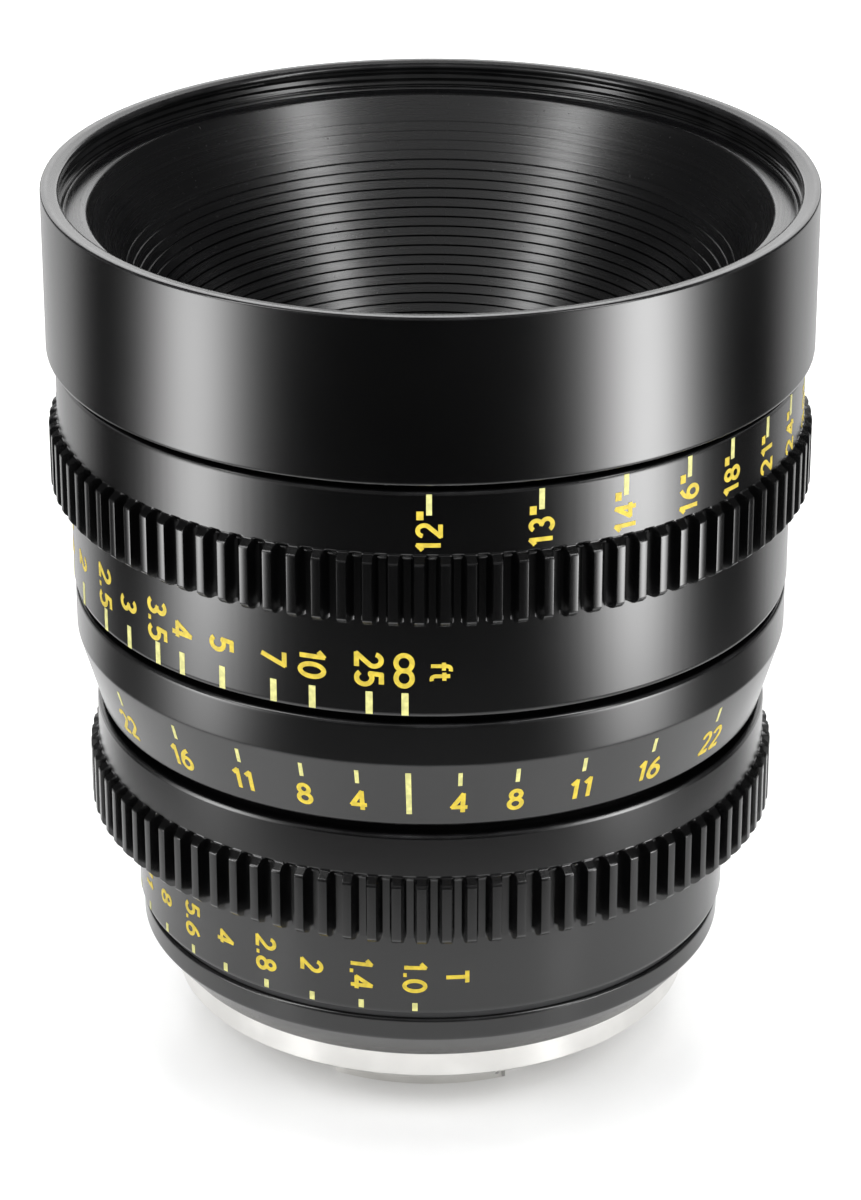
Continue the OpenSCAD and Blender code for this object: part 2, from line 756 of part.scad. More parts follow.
// Helical groove: a square profile carried around the turn while it climbs
module helix_groove() {
    steps = 36;
    over = asin(groove_hw / sleeve_bore);
    r_in = sleeve_bore - 0.5;
    r_out = sleeve_bore + helix_cut;
    function spot(i, r, dz) =
        let (a = -over + (focus_turn + 2 * over) * i / steps)
        [r * cos(-a), r * sin(-a), drive_z + focus_travel * a / focus_turn + dz];
    points = [for (i = [0:steps]) each [spot(i, r_in, -groove_hw), spot(i, r_out, -groove_hw),
        spot(i, r_out, groove_hw), spot(i, r_in, groove_hw)]];
    sides = [for (i = [0:steps - 1], k = [0:3]) let (a = 4 * i + k, b = 4 * i + (k + 1) % 4)
        each [[a, b + 4, b], [a, a + 4, b + 4]]];
    e = 4 * steps;
    ends = [[0, 1, 2], [0, 2, 3], [e, e + 2, e + 1], [e, e + 3, e + 2]];
    polyhedron(points, concat(sides, ends));
}

// Cam sleeve pressed into the focus ring
module focus_cam() {
    color(brass)
        difference() {
            ring(sleeve_bore, sleeve_r, sleeve_z, z_focus_top);
            helix_groove();
        }
}

// Sliding cell that carries all the glass and the iris
module lens_cell() {
    pin_arc = asin((iris_pin_r + run_gap) / cell_bore);
    shoulder_z = floor_z + 0.9;
    color(dark)
        difference() {
            rotate_extrude()
                polygon([[rear_bore, nose_z], [nose_r, nose_z], [nose_r, stack_z - 1.5],
                    [cell_bore, stack_z - 1.5], [cell_bore, shoulder_z], [cell_iris_r, shoulder_z],
                    [cell_iris_r, cell_step_z], [cell_r, cell_step_z], [cell_r, cell_top],
                    [front_cell_r + fit_gap, cell_top], [front_cell_r + fit_gap, plate_z],
                    [cell_bore, plate_z], [cell_bore, iris_floor], [aperture_r + 0.2, iris_floor],
                    [aperture_r + 0.2, stack_z], [rear_bore, stack_z]]);
            sector(cell_bore - 1, cell_iris_r + 1, iris_floor + 0.1, iris_pin_z + iris_pin_r + 0.2,
                iris_pin_az - pin_arc, iris_turn + 2 * pin_arc);
            spoke(0, drive_z, drive_pin_r + fit_gap, cell_r - drive_seat, cell_r + 1);
            translate([-cell_r - 1, -key_w / 2 - fit_gap, drive_z - key_h / 2 - fit_gap])
                cube([key_depth + 1, key_w + 2 * fit_gap, key_h + 2 * fit_gap]);
        }
}

// Pin from the lens cell through the guide sleeve into the helical groove
module focus_drive_pin() {
    color(steel)
        spoke(0, drive_z, drive_pin_r, cell_r - drive_seat, drive_end_r);
}

// Key that keeps the lens cell from turning
module guide_key() {
    color(brass)
        translate([-guide_r + 0.3, -key_w / 2, drive_z - key_h / 2])
            cube([guide_r - 0.3 - cell_r + key_depth, key_w, key_h]);
}

// Inner barrel of the front group, screwed into the lens cell over the iris plate
module front_group_cell() {
    color(black)
        rotate_extrude()
            polygon([[glass_3_r - 2.5, group_z], [front_cell_r, group_z], [front_cell_r, cell_top],
                [cell_r - 0.5, cell_top], [cell_r - 0.5, group_top], [retainer_r + fit_gap, group_top],
                [retainer_r + fit_gap, retainer_z], [glass_1_r + fit_gap, retainer_z],
                [glass_1_r + fit_gap, glass_1_z], [glass_2_r + fit_gap, glass_1_z],
                [glass_2_r + fit_gap, glass_2_z], [glass_3_r + fit_gap, glass_2_z],
                [glass_3_r + fit_gap, glass_3_z], [glass_3_r - 2.5, glass_3_z]]);
}

// Threaded retaining ring with two spanner slots in one face
module retaining_ring(r_in, r_out, z0, t, slot_z) {
    difference() {
        ring(r_in, r_out, z0, z0 + t);
        translate([0, 0, slot_z])
            cube([big, 1.4, 1.2], center = true);
    }
}

module front_retainer() {
    color(black)
        retaining_ring(glass_1_r - 1.7, retainer_r, retainer_z, retainer_t, retainer_z + retainer_t);
}

module rear_retainer() {
    color(black)
        retaining_ring(rear_clear_r + 0.4, glass_rear_r, nose_z, rear_retainer_t, nose_z);
}

// Front group glass
module glass_1() {
    color(glass)
        element(glass_1_r, glass_1_t, glass_1_z, [curve_1, glass_1_r - clear_in - 0.4],
            [-hollow_1, glass_2_r - hollow_in]);
}

module glass_2() {
    color(glass)
        element(glass_2_r, glass_2_t, glass_2_z, [curve_2, glass_2_r - clear_in - 0.5],
            [-hollow_2, glass_3_r - hollow_in]);
}

module glass_3() {
    color(glass)
        element(glass_3_r, glass_3_t, glass_3_z, [curve_3, glass_3_r - clear_in],
            [back_3, glass_3_r - 2 * clear_in]);
}

// Rear group glass: two cemented pairs and two single elements
module glass_4() {
    color(glass)
        element(glass_rear_r, glass_4_t, glass_4_z, [curve_4, aperture_r - 0.3],
            [cement_curve, glass_rear_r - clear_in]);
}

module glass_5() {
    color(glass)
        element(glass_rear_r, glass_5_t, glass_5_z,
            [cement_gap - cement_curve, glass_rear_r - clear_in + fit_gap], [0, 0]);
}

module glass_6() {
    color(glass)
        element(glass_rear_r, glass_6_t, glass_6_z, [curve_6, rear_clear_r],
            [cement_curve, glass_rear_r - clear_in]);
}

module glass_7() {
    color(glass)
        element(glass_rear_r, glass_7_t, glass_7_z,
            [cement_gap - cement_curve, glass_rear_r - clear_in + fit_gap], [0, 0]);
}

module glass_8() {
    color(glass)
        element(glass_rear_r, glass_8_t, glass_8_z, [curve_6, rear_clear_r], [0, 0]);
}

module glass_9() {
    color(glass)
        element(glass_rear_r, glass_9_t, glass_9_z, [-hollow_9, rear_clear_r], [back_9, rear_clear_r]);
}

// Spacers between the elements
module front_spacer() {
    color(black)
        ring(glass_2_r - 1.4, glass_2_r, front_spacer_z, glass_1_z);
}

module inner_spacer() {
    color(black)
        ring(glass_3_r - 1.2, glass_3_r, inner_spacer_z, glass_2_z);
}

module spacer_a() {
    color(black)
        ring(rear_clear_r + 0.3, glass_rear_r, spacer_a_z, glass_5_z);
}

module spacer_b() {
    color(black)
        ring(rear_clear_r + 0.3, glass_rear_r, spacer_b_z, glass_7_z);
}

module spacer_c() {
    color(black)
        ring(rear_clear_r + 0.3, glass_rear_r, spacer_c_z, glass_8_z);
}

// Plate with the blade pivot holes, clamped under the front group
module iris_plate() {
    color(dark)
        difference() {
            ring(aperture_r + 0.2, front_cell_r, plate_z, group_z);
            for (i = [0:blade_n - 1])
                post(pivot_r, i * 360 / blade_n, blade_pin_r + slot_gap, plate_z - 1, group_z + 1);
        }
}

// Curved slot that carries one blade's drive pin through the whole iris turn
module cam_slot() {
    steps = 24;
    over = 0.02;
    function share(i) = -over + (1 + 2 * over) * i / steps;
    function side(s) = let (d = slot_at(s + 0.001) - slot_at(s - 0.001)) [-d[1], d[0]] / norm(d);
    outer = [for (i = [0:steps]) slot_at(share(i)) + side(share(i)) * slot_hw];
    inner = [for (i = [steps:-1:0]) slot_at(share(i)) - side(share(i)) * slot_hw];
    translate([0, 0, cam_z - 1])
        linear_extrude(cam_t + 2)
            polygon(concat(outer, inner));
}

// Cam ring: slotted plate and a skirt with the fork for the drive pin
module iris_cam_ring() {
    color(brass)
        difference() {
            rotate_extrude()
                polygon([[cam_in_r, cam_z], [cam_r - skirt_wall, cam_z],
                    [cam_r - skirt_wall, iris_floor + run_gap], [cam_r, iris_floor + run_gap],
                    [cam_r, cam_z + cam_t], [cam_in_r, cam_z + cam_t]]);
            for (i = [0:blade_n - 1])
                rotate([0, 0, i * 360 / blade_n])
                    cam_slot();
            rotate([0, 0, iris_pin_az])
                translate([cam_r - skirt_wall - 0.5, -iris_pin_r - run_gap, iris_floor - 1])
                    cube([skirt_wall + 2, 2 * (iris_pin_r + run_gap), cam_z - 0.1 - iris_floor + 1]);
        }
}

// Flat outline of the first blade in the open position
module blade_outline() {
    tip_az = 100;
    root_az = -4;
    arm = (tail_pos - pivot_pos) / blade_tail;
    side = [-arm[1], arm[0]] * 0.8;
    difference() {
        polygon(concat(
            [for (i = [0:26]) let (a = root_az + (tip_az - root_az) * i / 26)
                blade_out_r * [cos(a), sin(a)]],
            [for (i = [26:-1:0]) let (a = root_az + (tip_az - root_az) * i / 26)
                (aperture_r - 1) * [cos(a), sin(a)]]));
        circle(r = aperture_r);
    }
    translate(pivot_pos)
        circle(r = 1.5);
    translate(tail_pos)
        circle(r = 0.8);
    polygon([pivot_pos + side, tail_pos + side, tail_pos - side, pivot_pos - side]);
    polygon([[blade_out_r - 1, -1.1], [pivot_r, -1.5], [pivot_r, 1.5], [blade_out_r - 1, 1.7]]);
}

// One blade: leaf, pivot pin to the front and drive pin to the rear
module iris_blade(i) {
    z = blade_z + i * blade_pitch;
    color(steel)
        rotate([0, 0, i * 360 / blade_n]) {
            translate([0, 0, z])
                linear_extrude(blade_t)
                    blade_outline();
            translate([pivot_r, 0, z])
                cylinder(r = blade_pin_r, h = group_z - 0.2 - z);
            translate([tail_pos[0], tail_pos[1], cam_z + 0.2])
                cylinder(r = blade_pin_r, h = z + blade_t - cam_z - 0.2);
        }
}

bayonet_mount();
mount_screws();
rear_baffle();
index_dot();
rear_barrel();
main_barrel();
guide_sleeve();
barrel_screws();
front_barrel();
front_screws();
front_funnel();
iris_ring();
iris_drive_pin();
iris_washer_rear();
iris_washer_front();
focus_ring();
focus_cam();
focus_washer_rear();
focus_washer_front();
lens_cell();
focus_drive_pin();
guide_key();
front_group_cell();
front_retainer();
glass_1();
glass_2();
glass_3();
glass_4();
glass_5();
glass_6();
glass_7();
glass_8();
glass_9();
front_spacer();
inner_spacer();
spacer_a();
spacer_b();
spacer_c();
rear_retainer();
iris_plate();
iris_cam_ring();
iris_blade(0);  // iris_blade_01
iris_blade(1);  // iris_blade_02
iris_blade(2);  // iris_blade_03
iris_blade(3);  // iris_blade_04
iris_blade(4);  // iris_blade_05
iris_blade(5);  // iris_blade_06
iris_blade(6);  // iris_blade_07
iris_blade(7);  // iris_blade_08
iris_blade(8);  // iris_blade_09
iris_blade(9);  // iris_blade_10
iris_blade(10);  // iris_blade_11
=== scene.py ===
"""Cinema prime lens: fine turned surfaces, printed scales and finishes around the fixed frame."""

import math

import bmesh
import bpy
import numpy as np
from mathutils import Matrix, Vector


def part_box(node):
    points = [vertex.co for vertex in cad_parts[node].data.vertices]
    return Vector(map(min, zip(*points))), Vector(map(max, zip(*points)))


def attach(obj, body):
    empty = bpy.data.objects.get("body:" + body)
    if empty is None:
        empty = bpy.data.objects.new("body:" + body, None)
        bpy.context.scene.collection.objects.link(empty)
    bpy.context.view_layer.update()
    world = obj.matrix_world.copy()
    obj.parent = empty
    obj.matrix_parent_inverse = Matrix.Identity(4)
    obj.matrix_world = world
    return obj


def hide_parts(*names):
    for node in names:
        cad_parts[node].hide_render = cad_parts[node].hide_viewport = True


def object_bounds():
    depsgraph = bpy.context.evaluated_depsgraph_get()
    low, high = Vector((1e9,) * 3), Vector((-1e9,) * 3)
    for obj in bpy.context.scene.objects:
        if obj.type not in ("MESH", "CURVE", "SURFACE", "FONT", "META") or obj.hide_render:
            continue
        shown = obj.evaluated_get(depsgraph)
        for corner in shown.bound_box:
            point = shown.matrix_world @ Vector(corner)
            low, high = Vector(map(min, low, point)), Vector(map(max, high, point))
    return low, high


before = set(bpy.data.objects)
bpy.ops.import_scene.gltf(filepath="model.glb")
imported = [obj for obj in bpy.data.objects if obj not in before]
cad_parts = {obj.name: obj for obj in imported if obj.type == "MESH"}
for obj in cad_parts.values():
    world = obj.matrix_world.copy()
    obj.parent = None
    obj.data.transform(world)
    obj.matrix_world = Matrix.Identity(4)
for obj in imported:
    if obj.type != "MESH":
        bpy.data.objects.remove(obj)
CAD_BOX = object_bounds()

bl_info = {
    "name": "Cinema prime lens",
    "version": (1, 0, 0),
    "blender": (4, 5, 0),
    "location": "View3D > Sidebar > Lens",
    "description": "Builds the outside of a cinema prime lens around its solid parts",
    "category": "Add Mesh",
}

MM = 0.001
BLACK, WHITE = (0, 0, 0, 1), (1, 1, 1, 1)
WEB = 2 * MM  # thickness of the webs inside the barrels
# the thread rows' share of edge is painted lighter by the anodised finish: a painted highlight mottled like wear
THREAD_ROWS, THREAD_SHEEN_AND_WEAR = 34, 0.25  # rows of points along the filter thread, and their share of edge
LEAN = 0.03 * MM  # lean of a gear's rear face, which keeps its faces from folding flat
# Points across a light-trap groove: places in half widths, shares of its cut and shares of its painted shade, a black
# dull shader
GROOVE_PLACES, GROOVE_CUT, GROOVE_SHADE = (-1.6, -1, 0, 1, 1.6), (0, 0, 1, 0, 0), (0, 0.6, 1, 0.6, 0)


def reach(node):
    """Largest radius, lowest and highest point of a solid part around the optical axis, in metres."""
    low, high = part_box(node)
    return max(high.x, high.y), low.z, high.z


FRONT_R, FRONT_Z0, FRONT_Z1 = reach("front_barrel")
FOCUS_R, FOCUS_Z0, FOCUS_Z1 = reach("focus_ring")
FIXED_R, FIXED_Z0, FIXED_Z1 = reach("main_barrel")
IRIS_R, IRIS_Z0, IRIS_Z1 = reach("iris_ring")
REAR_R, REAR_Z0, REAR_Z1 = reach("rear_barrel")
FUNNEL_R, FUNNEL_Z0, FUNNEL_Z1 = reach("front_funnel")
FLOOR_Z = CAD_BOX[0].z


# Sizes and colours that a user may change


def length(name, about, value):
    """Property for a length, given in millimetres and kept in metres."""
    return bpy.props.FloatProperty(
        name=name, description=about, default=value * MM, precision=5, subtype="DISTANCE", unit="LENGTH"
    )


def angle(name, about, value):
    """Property for an angle, given in degrees and kept in radians."""
    return bpy.props.FloatProperty(
        name=name, description=about, default=math.radians(value), subtype="ANGLE", unit="ROTATION"
    )


def number(name, about, value, **more):
    """Property for a plain number."""
    return bpy.props.FloatProperty(name=name, description=about, default=value, **more)


def colour(name, about, value):
    """Property for a colour."""
    return bpy.props.FloatVectorProperty(
        name=name, description=about, default=value, size=3, min=0, max=1, subtype="COLOR"
    )


class LensSizes(bpy.types.PropertyGroup):
    """Sizes of the turned shells."""

    edge: length("Edge rounding", "Rounding of the outer edges", 0.4)
    break_edge: length("Broken edge", "Rounding of the corners that look sharp", 0.07)
    columns: bpy.props.IntProperty(name="Columns", description="Points around a shell", default=320, min=48)
    thread_r: length("Thread radius", "Crest radius of the filter thread", 38.1)
    thread_pitch: length("Thread pitch", "Pitch of the filter thread", 0.75)
    thread_depth: length("Thread depth", "Depth of the filter thread", 0.2)
    rim_flat: length("Rim flat", "Width of the rim's flat outer part", 0.6)
    rim_slope: length("Rim slope", "Height that the rim loses towards the thread", 0.18)
    front_bore: length("Front bore", "Inside radius of the front web", 29.54)
    funnel_throat: length("Funnel throat", "Radius of the funnel at its narrow end", 18.8)
    funnel_mouth: length("Funnel mouth", "Radius of the funnel's cone at the ledge", 35.4)
    funnel_brink: length("Funnel brink", "Radius where the flat ledge ends", 35.6)
    funnel_wall: length("Funnel wall", "Wall of the funnel across its radius", 1.447)
    ledge: length("Ledge thickness", "Thickness of the funnel flange", 1.5)
    mouth_sweep: length("Mouth sweep", "Depth of the sweep from the ledge into the funnel", 0.25)
    first_groove: length("First groove", "Depth of the first light-trap groove", 2.7)
    full_groove: length("Full groove", "Depth from which the light-trap grooves have their full cut", 10.5)
    groove_pitch: length("Groove pitch", "Axial pitch of the light-trap grooves", 0.9)
    groove_depth: length("Groove depth", "Depth of the light-trap grooves", 0.22)
    groove_width: length("Groove width", "Width of the light-trap grooves", 0.15)
    module: length("Gear module", "Tooth module of both follow gears", 0.8)
    gear_width: length("Gear width", "Face width of both gears", 7.6)
    gear_chamfer: length("Gear chamfer", "Chamfer at the tooth ends", 0.7)
    gear_step: length("Gear step", "Height of the tooth tips above the band before them", 0.9)
    focus_gear: length("Focus gear start", "Height of the focus gear above the ring's rear end", 10.5)
    focus_rear: length("Focus rear radius", "Radius of the focus ring behind its gear", 37.92)
    focus_bore: length("Focus bore", "Inside radius of the focus ring", 34.66)
    focus_lip: length("Focus lip", "Inside radius of the focus ring's rear lip", 32.14)
    fixed_cone: length("Fixed barrel taper", "Length of the fixed barrel's taper", 7.9)
    fixed_drop: length("Fixed barrel drop", "Radius that the fixed barrel loses along its taper", 2.3)
    iris_gear: length("Iris gear start", "Height of the iris gear above the ring's rear end", 10.6)
    iris_scale: length("Iris scale radius", "Radius of the iris scale", 31.93)
    iris_bore: length("Iris bore", "Inside radius of the iris ring", 30.08)
    rear_taper: length("Rear taper", "Length of the rear taper", 3.6)
    rear_wall: length("Rear wall", "Length of the straight rear wall", 2.4)
    rear_drop: length("Rear drop", "Radius that the rear barrel loses along its taper", 3)
    rear_tube: length("Rear tube", "Outside radius of the tube under the iris ring", 29.98)
    rear_bore: length("Rear bore", "Inside radius of that tube", 26.58)
    mount_bore: length("Mount bore", "Inside radius of the mount", 17.9)


class LensScales(bpy.types.PropertyGroup):
    """Sizes of the printed scales."""

    proud: length("Print height", "Height of the print above the metal", 0.02)
    stroke: length("Stroke width", "Width of the number strokes", 0.52)
    focus_cap: length("Focus figures", "Height of the figures on the focus ring", 2.75)
    front_cap: length("Near figures", "Height of the figures before the focus gear", 2.45)
    iris_cap: length("Iris figures", "Height of the figures on the iris ring", 2.4)
    depth_cap: length("Depth figures", "Height of the figures on the fixed barrel", 2.6)
    tick: length("Tick length", "Length of the ticks of the focus scale", 2.45)
    tick_width: length("Tick width", "Width of the ticks", 0.7)


class LensFinish(bpy.types.PropertyGroup):
    """Colours and gloss of the finishes."""

    anodised: colour("Anodised black", "Black of the outside", (0.0013, 0.0013, 0.0014))
    anodised_rough: number("Anodised roughness", "Roughness of the outside", 0.22, min=0, max=1, subtype="FACTOR")
    # painted highlight: lighter tone painted on the rounded edges, mottled like wear
    edge_sheen_and_wear_tone: colour("Edge tone", "Tone of the metal at rubbed edges", (0.03, 0.03, 0.031))
    baffle: colour("Baffle black", "Black of the light traps", (0.002, 0.002, 0.0023))
    gold: colour("Figure gold", "Paint of the figures", (0.62, 0.47, 0.03))
    pale: colour("Tick yellow", "Paint of the ticks", (0.62, 0.6, 0.22))
    chrome: colour("Chrome", "Tone of the plated mount", (0.8, 0.79, 0.765))
    steel: colour("Steel", "Tone of screws and pins", (0.55, 0.55, 0.56))
    brass: colour("Brass", "Tone of the cam sleeve and the key", (0.72, 0.5, 0.2))
    washer: colour("Washer", "Tone of the slip washers", (0.02, 0.02, 0.021))
    dot: colour("Mounting dot", "Enamel of the mounting dot", (0.55, 0.02, 0.015))
    coating: colour("Lens coating", "Reflection that the coating of the glass leaves", (0.13, 0.1, 0.19))


class LensStage(bpy.types.PropertyGroup):
    """Camera and light."""

    focal: number("Focal length", "Focal length of the camera in millimetres", 129.42, unit="CAMERA")
    turn: angle("Camera turn", "Turn of the camera from the index line", 3.4)
    pitch: angle("Camera pitch", "Downward pitch of the camera", 24.893)
    distance: length("Camera distance", "Distance of the camera from the optical axis", 419.64)
    height: length("Camera height", "Height of the camera above the flange seat", 237.35)
    floor: colour("Floor", "Tone of the table", (0.9, 0.9, 0.9))
    top_power: number("Top light", "Power of the overhead softbox in watts", 7, unit="POWER")
    strip_power: number("Strip lights", "Power of each side strip in watts", 2, unit="POWER")
    fill_power: number("Front fill", "Power of the low front light in watts", 3, unit="POWER")
    card_power: number("Front card", "Power of the faint card over the camera in watts", 0.42, unit="POWER")
    side_glow: number("Side glow", "Glow of the table's side areas in the metal's reflections", 10)


# Shader nodes


def maths(operation):
    """Operator and its reflected form, which add a Math node."""
    return lambda wire, other: wire.math(operation, wire, other), lambda wire, other: wire.math(operation, other, wire)


class Wire:
    """One socket of a node tree. Arithmetic on it adds Math nodes."""

    def __init__(self, board, socket):
        self.board, self.socket = board, socket

    def math(self, operation, *values):
        """Math node with the given inputs in order."""
        return self.board.add("ShaderNodeMath", {"operation": operation}, dict(enumerate(values)))

    __add__, __radd__ = maths("ADD")
    __sub__, __rsub__ = maths("SUBTRACT")
    __mul__, __rmul__ = maths("MULTIPLY")
    __truediv__, __rtruediv__ = maths("DIVIDE")
    __pow__, __rpow__ = maths("POWER")

    def step(self, low, high):
        """0 below low, 1 above high and smooth between."""
        return self.board.add(
            "ShaderNodeMapRange", {"interpolation_type": "SMOOTHSTEP"}, {0: self, 1: low, 2: high, 3: 0.0, 4: 1.0}
        )


class Board:
    """A node tree that starts empty, with one method that adds any node."""

    def __init__(self, tree):
        self.tree = tree
        tree.nodes.clear()

    def add(self, kind, settings=None, inputs=None, out=0):
        """New node with its settings set first, then its socket values or links. Returns one output."""
        node = self.tree.nodes.new(kind)
        for key, value in (settings or {}).items():
            setattr(node, key, value)
        for key, value in (inputs or {}).items():
            if isinstance(value, Wire):
                self.tree.links.new(value.socket, node.inputs[key])
            else:
                node.inputs[key].default_value = value
        return Wire(self, node.outputs[out]) if len(node.outputs) else None

    def spot(self):
        """Object coordinates of the surface."""
        return self.add("ShaderNodeTexCoord", out="Object")

    def polar(self):
        """Radius, height and azimuth around the optical axis, with the azimuth counted from -Y towards +X."""
        spot = self.spot()
        x, y, z = (self.add("ShaderNodeSeparateXYZ", None, {0: spot}, out=i) for i in range(3))
        return (x * x + y * y) ** 0.5, z, x.math("ARCTAN2", x, -1 * y)

    def edge(self):
        """The share of edge that the mesh carries: the anodised finish paints it as a lighter edge highlight, and the
        light-trap finish paints it as shade in the grooves.
        """
        return self.add("ShaderNodeAttribute", {"attribute_name": "edge"}, out="Fac")

    def noise(self, scale, detail=2.0, vector=None):
        """Noise value at a scale in turns per metre, over the object or a given vector."""
        sockets = {"Vector": vector or self.spot(), "Scale": scale, "Detail": detail}
        return self.add("ShaderNodeTexNoise", None, sockets)

    def turned(self, rate, stretch=2.0):
        """Noise drawn out around the axis into tooling lines, rate lines per metre."""
        radius, height, azimuth = self.polar()
        sockets = {0: radius * rate, 1: height * rate, 2: azimuth * stretch}
        return self.noise(1.0, vector=self.add("ShaderNodeCombineXYZ", None, sockets))

    def mix(self, share, first, second):
        """Colour between two colours."""
        return self.add("ShaderNodeMix", {"data_type": "RGBA"}, {0: share, 6: first, 7: second}, out=2)

    def bump(self, relief, strength, depth):
        """Normal of a relief."""
        return self.add("ShaderNodeBump", None, {"Height": relief, "Strength": strength, "Distance": depth})

    def shader(self, **sockets):
        """Principled shader with the given sockets."""
        return self.add("ShaderNodeBsdfPrincipled", None, {k.replace("_", " "): v for k, v in sockets.items()})

    def blend(self, share, first, second):
        """Shader between two shaders, led to the material's output."""
        both = self.add("ShaderNodeMixShader", None, {0: share, 1: first, 2: second})
        self.add("ShaderNodeOutputMaterial", None, {"Surface": both})

    def surface(self, **sockets):
        """Principled shader with the given sockets, led to the material's output."""
        self.add("ShaderNodeOutputMaterial", None, {"Surface": self.shader(**sockets)})


def rgba(tone, gain=1.0):
    """A colour property as four numbers, brightened by a gain."""
    return tuple(min(1.0, c * gain) for c in tone) + (1.0,)


def paint_anodised(board, look, gain=1.0, rough=None):
    """Blasted and anodised aluminium: fine grain, faint tooling lines and hand marks, with rounded edges painted
    lighter as a painted highlight that noise breaks up like wear.
    """
    rough = rough or look.anodised_rough
    grain, marks = board.noise(9000.0), board.noise(70.0, 4.0)
    # painted highlight: the share of edge, broken up by noise, lightens the rounded edges towards the edge tone
    edge_sheen_and_wear = board.edge() * (0.35 + 0.65 * board.noise(260.0, 3.0)).step(0.45, 0.95)
    body = board.mix(marks.step(0.3, 0.7), rgba(look.anodised, 0.8 * gain), rgba(look.anodised, 1.25 * gain))
    board.surface(
        Base_Color=board.mix(edge_sheen_and_wear, body, rgba(look.edge_sheen_and_wear_tone)),
        Roughness=rough - 0.05 + 0.06 * grain + 0.05 * marks - 0.08 * edge_sheen_and_wear,
        IOR=1.6,
        Normal=board.bump(grain * 0.6 + board.turned(4200.0) * 0.5, 0.15, 0.012 * MM),
    )


def paint_baffle(board, look):
    """Satin black light-trap finish: tooling lines, a little dust, and painted shade in the grooves, which blend to a
    black shader without reflection.
    """
    tooling = board.turned(3000.0)
    dust = board.noise(2600.0, 1.0).step(0.72, 0.8)
    body = board.mix(tooling, rgba(look.baffle, 0.75), rgba(look.baffle, 1.35))
    coat = board.shader(
        Base_Color=board.mix(dust * 0.1, body, (0.05, 0.05, 0.05, 1)),
        Roughness=0.22 + 0.1 * tooling + 0.2 * dust,
        IOR=1.75,
        Normal=board.bump(tooling, 0.15, 0.02 * MM),
    )
    # painted shade: the groove bottoms blend to this black shader, which stands in for the shade inside the grooves
    trap = board.shader(Base_Color=(0.0005, 0.0005, 0.0005, 1), Roughness=1.0, Specular_IOR_Level=0.0)
    board.blend(0.75 * board.edge(), coat, trap)


def paint_matt(board, look):
    """Matt black paint of the inner barrels, with a fine speckle."""
    speck = board.noise(7000.0, 3.0)
    board.surface(
        Base_Color=board.mix(speck, rgba(look.baffle, 0.6), rgba(look.baffle, 1.8)),
        Roughness=0.55 + 0.25 * speck,
        Normal=board.bump(speck, 0.4, 0.02 * MM),
    )


def paint_print(board, look, tone):
    """Filled engraving: slightly uneven paint with darker spots."""
    tone = getattr(look, tone)
    uneven = board.noise(1400.0, 3.0)
    wear_and_sheen = board.noise(5200.0).step(0.62, 0.8)
    body = board.mix(uneven.step(0.3, 0.75), rgba(tone, 0.82), rgba(tone, 1.15))
    board.surface(
        Base_Color=board.mix(wear_and_sheen * 0.35, body, rgba(tone, 0.45)),
        Roughness=0.42 + 0.2 * uneven,
        Normal=board.bump(uneven, 0.3, 0.01 * MM),
    )


def paint_metal(board, look, tone, rough):
    """Turned metal: circular tooling lines, cloudy gloss and faint stains."""
    tone = getattr(look, tone)
    tooling = board.turned(5200.0)
    cloud = board.noise(160.0, 4.0)
    board.surface(
        Base_Color=board.mix(cloud.step(0.35, 0.75), rgba(tone, 0.92), rgba(tone, 1.06)),
        Metallic=1.0,
        Roughness=rough + 0.08 * tooling + 0.07 * cloud,
        Normal=board.bump(tooling, 0.25, 0.006 * MM),
    )


def paint_washer(board, look):
    """Graphite-filled plastic of the slip washers, faintly mottled."""
    mottle = board.noise(2200.0, 3.0)
    board.surface(
        Base_Color=board.mix(mottle, rgba(look.washer, 0.6), rgba(look.washer, 1.5)),
        Roughness=0.45 + 0.25 * mottle,
    )


def paint_blade(board, look):
    """Blackened spring steel with fine rolling lines."""
    rolled = board.turned(3600.0, 6.0)
    board.surface(
        Base_Color=board.mix(rolled, (0.012, 0.012, 0.014, 1), (0.035, 0.035, 0.04, 1)),
        Metallic=0.6,
        Roughness=0.32 + 0.16 * rolled,
        Normal=board.bump(rolled, 0.2, 0.008 * MM),
    )


def paint_enamel(board, look):
    """Glossy enamel of the mounting dot with a slight orange peel."""
    peel = board.noise(3000.0)
    board.surface(
        Base_Color=board.mix(peel, rgba(look.dot, 0.85), rgba(look.dot, 1.15)),
        Roughness=0.16 + 0.1 * peel,
        Normal=board.bump(peel, 0.2, 0.01 * MM),
    )


def paint_glass(board, look):
    """Coated glass: clear, with a tinted reflection and a breath of dust."""
    dust = board.noise(1800.0).step(0.66, 0.8)
    board.surface(
        Base_Color=board.mix(dust * 0.3, (0.97, 0.98, 0.96, 1), (0.8, 0.8, 0.8, 1)),
        Roughness=0.01 + 0.08 * dust,
        IOR=1.62,
        Transmission_Weight=1.0,
        Specular_Tint=rgba(look.coating),
    )


def paint_table(board, look):
    """Smooth white table with a faint gloss, paler towards its far edges: the paleness is painted light, an emission
    that is off under the lens, lifts the soft shadow around it and grows further out.
    """
    floor = bpy.context.scene.lens_stage.floor
    radius = board.polar()[0]
    cloud = board.noise(6.0)
    # painted light: emission that fills the shadow from 2 cm out and brightens the floor further away
    pale = 0.42 * radius.step(0.02, 0.03) + 0.58 * radius.step(0.06, 0.4)
    board.surface(
        Base_Color=board.mix(cloud, rgba(floor, 0.985), rgba(floor)),
        Roughness=0.25 + 0.05 * cloud,
        Emission_Color=board.mix(pale, BLACK, (0.6, 0.6, 0.6, 1)),
        Emission_Strength=1.0,
    )


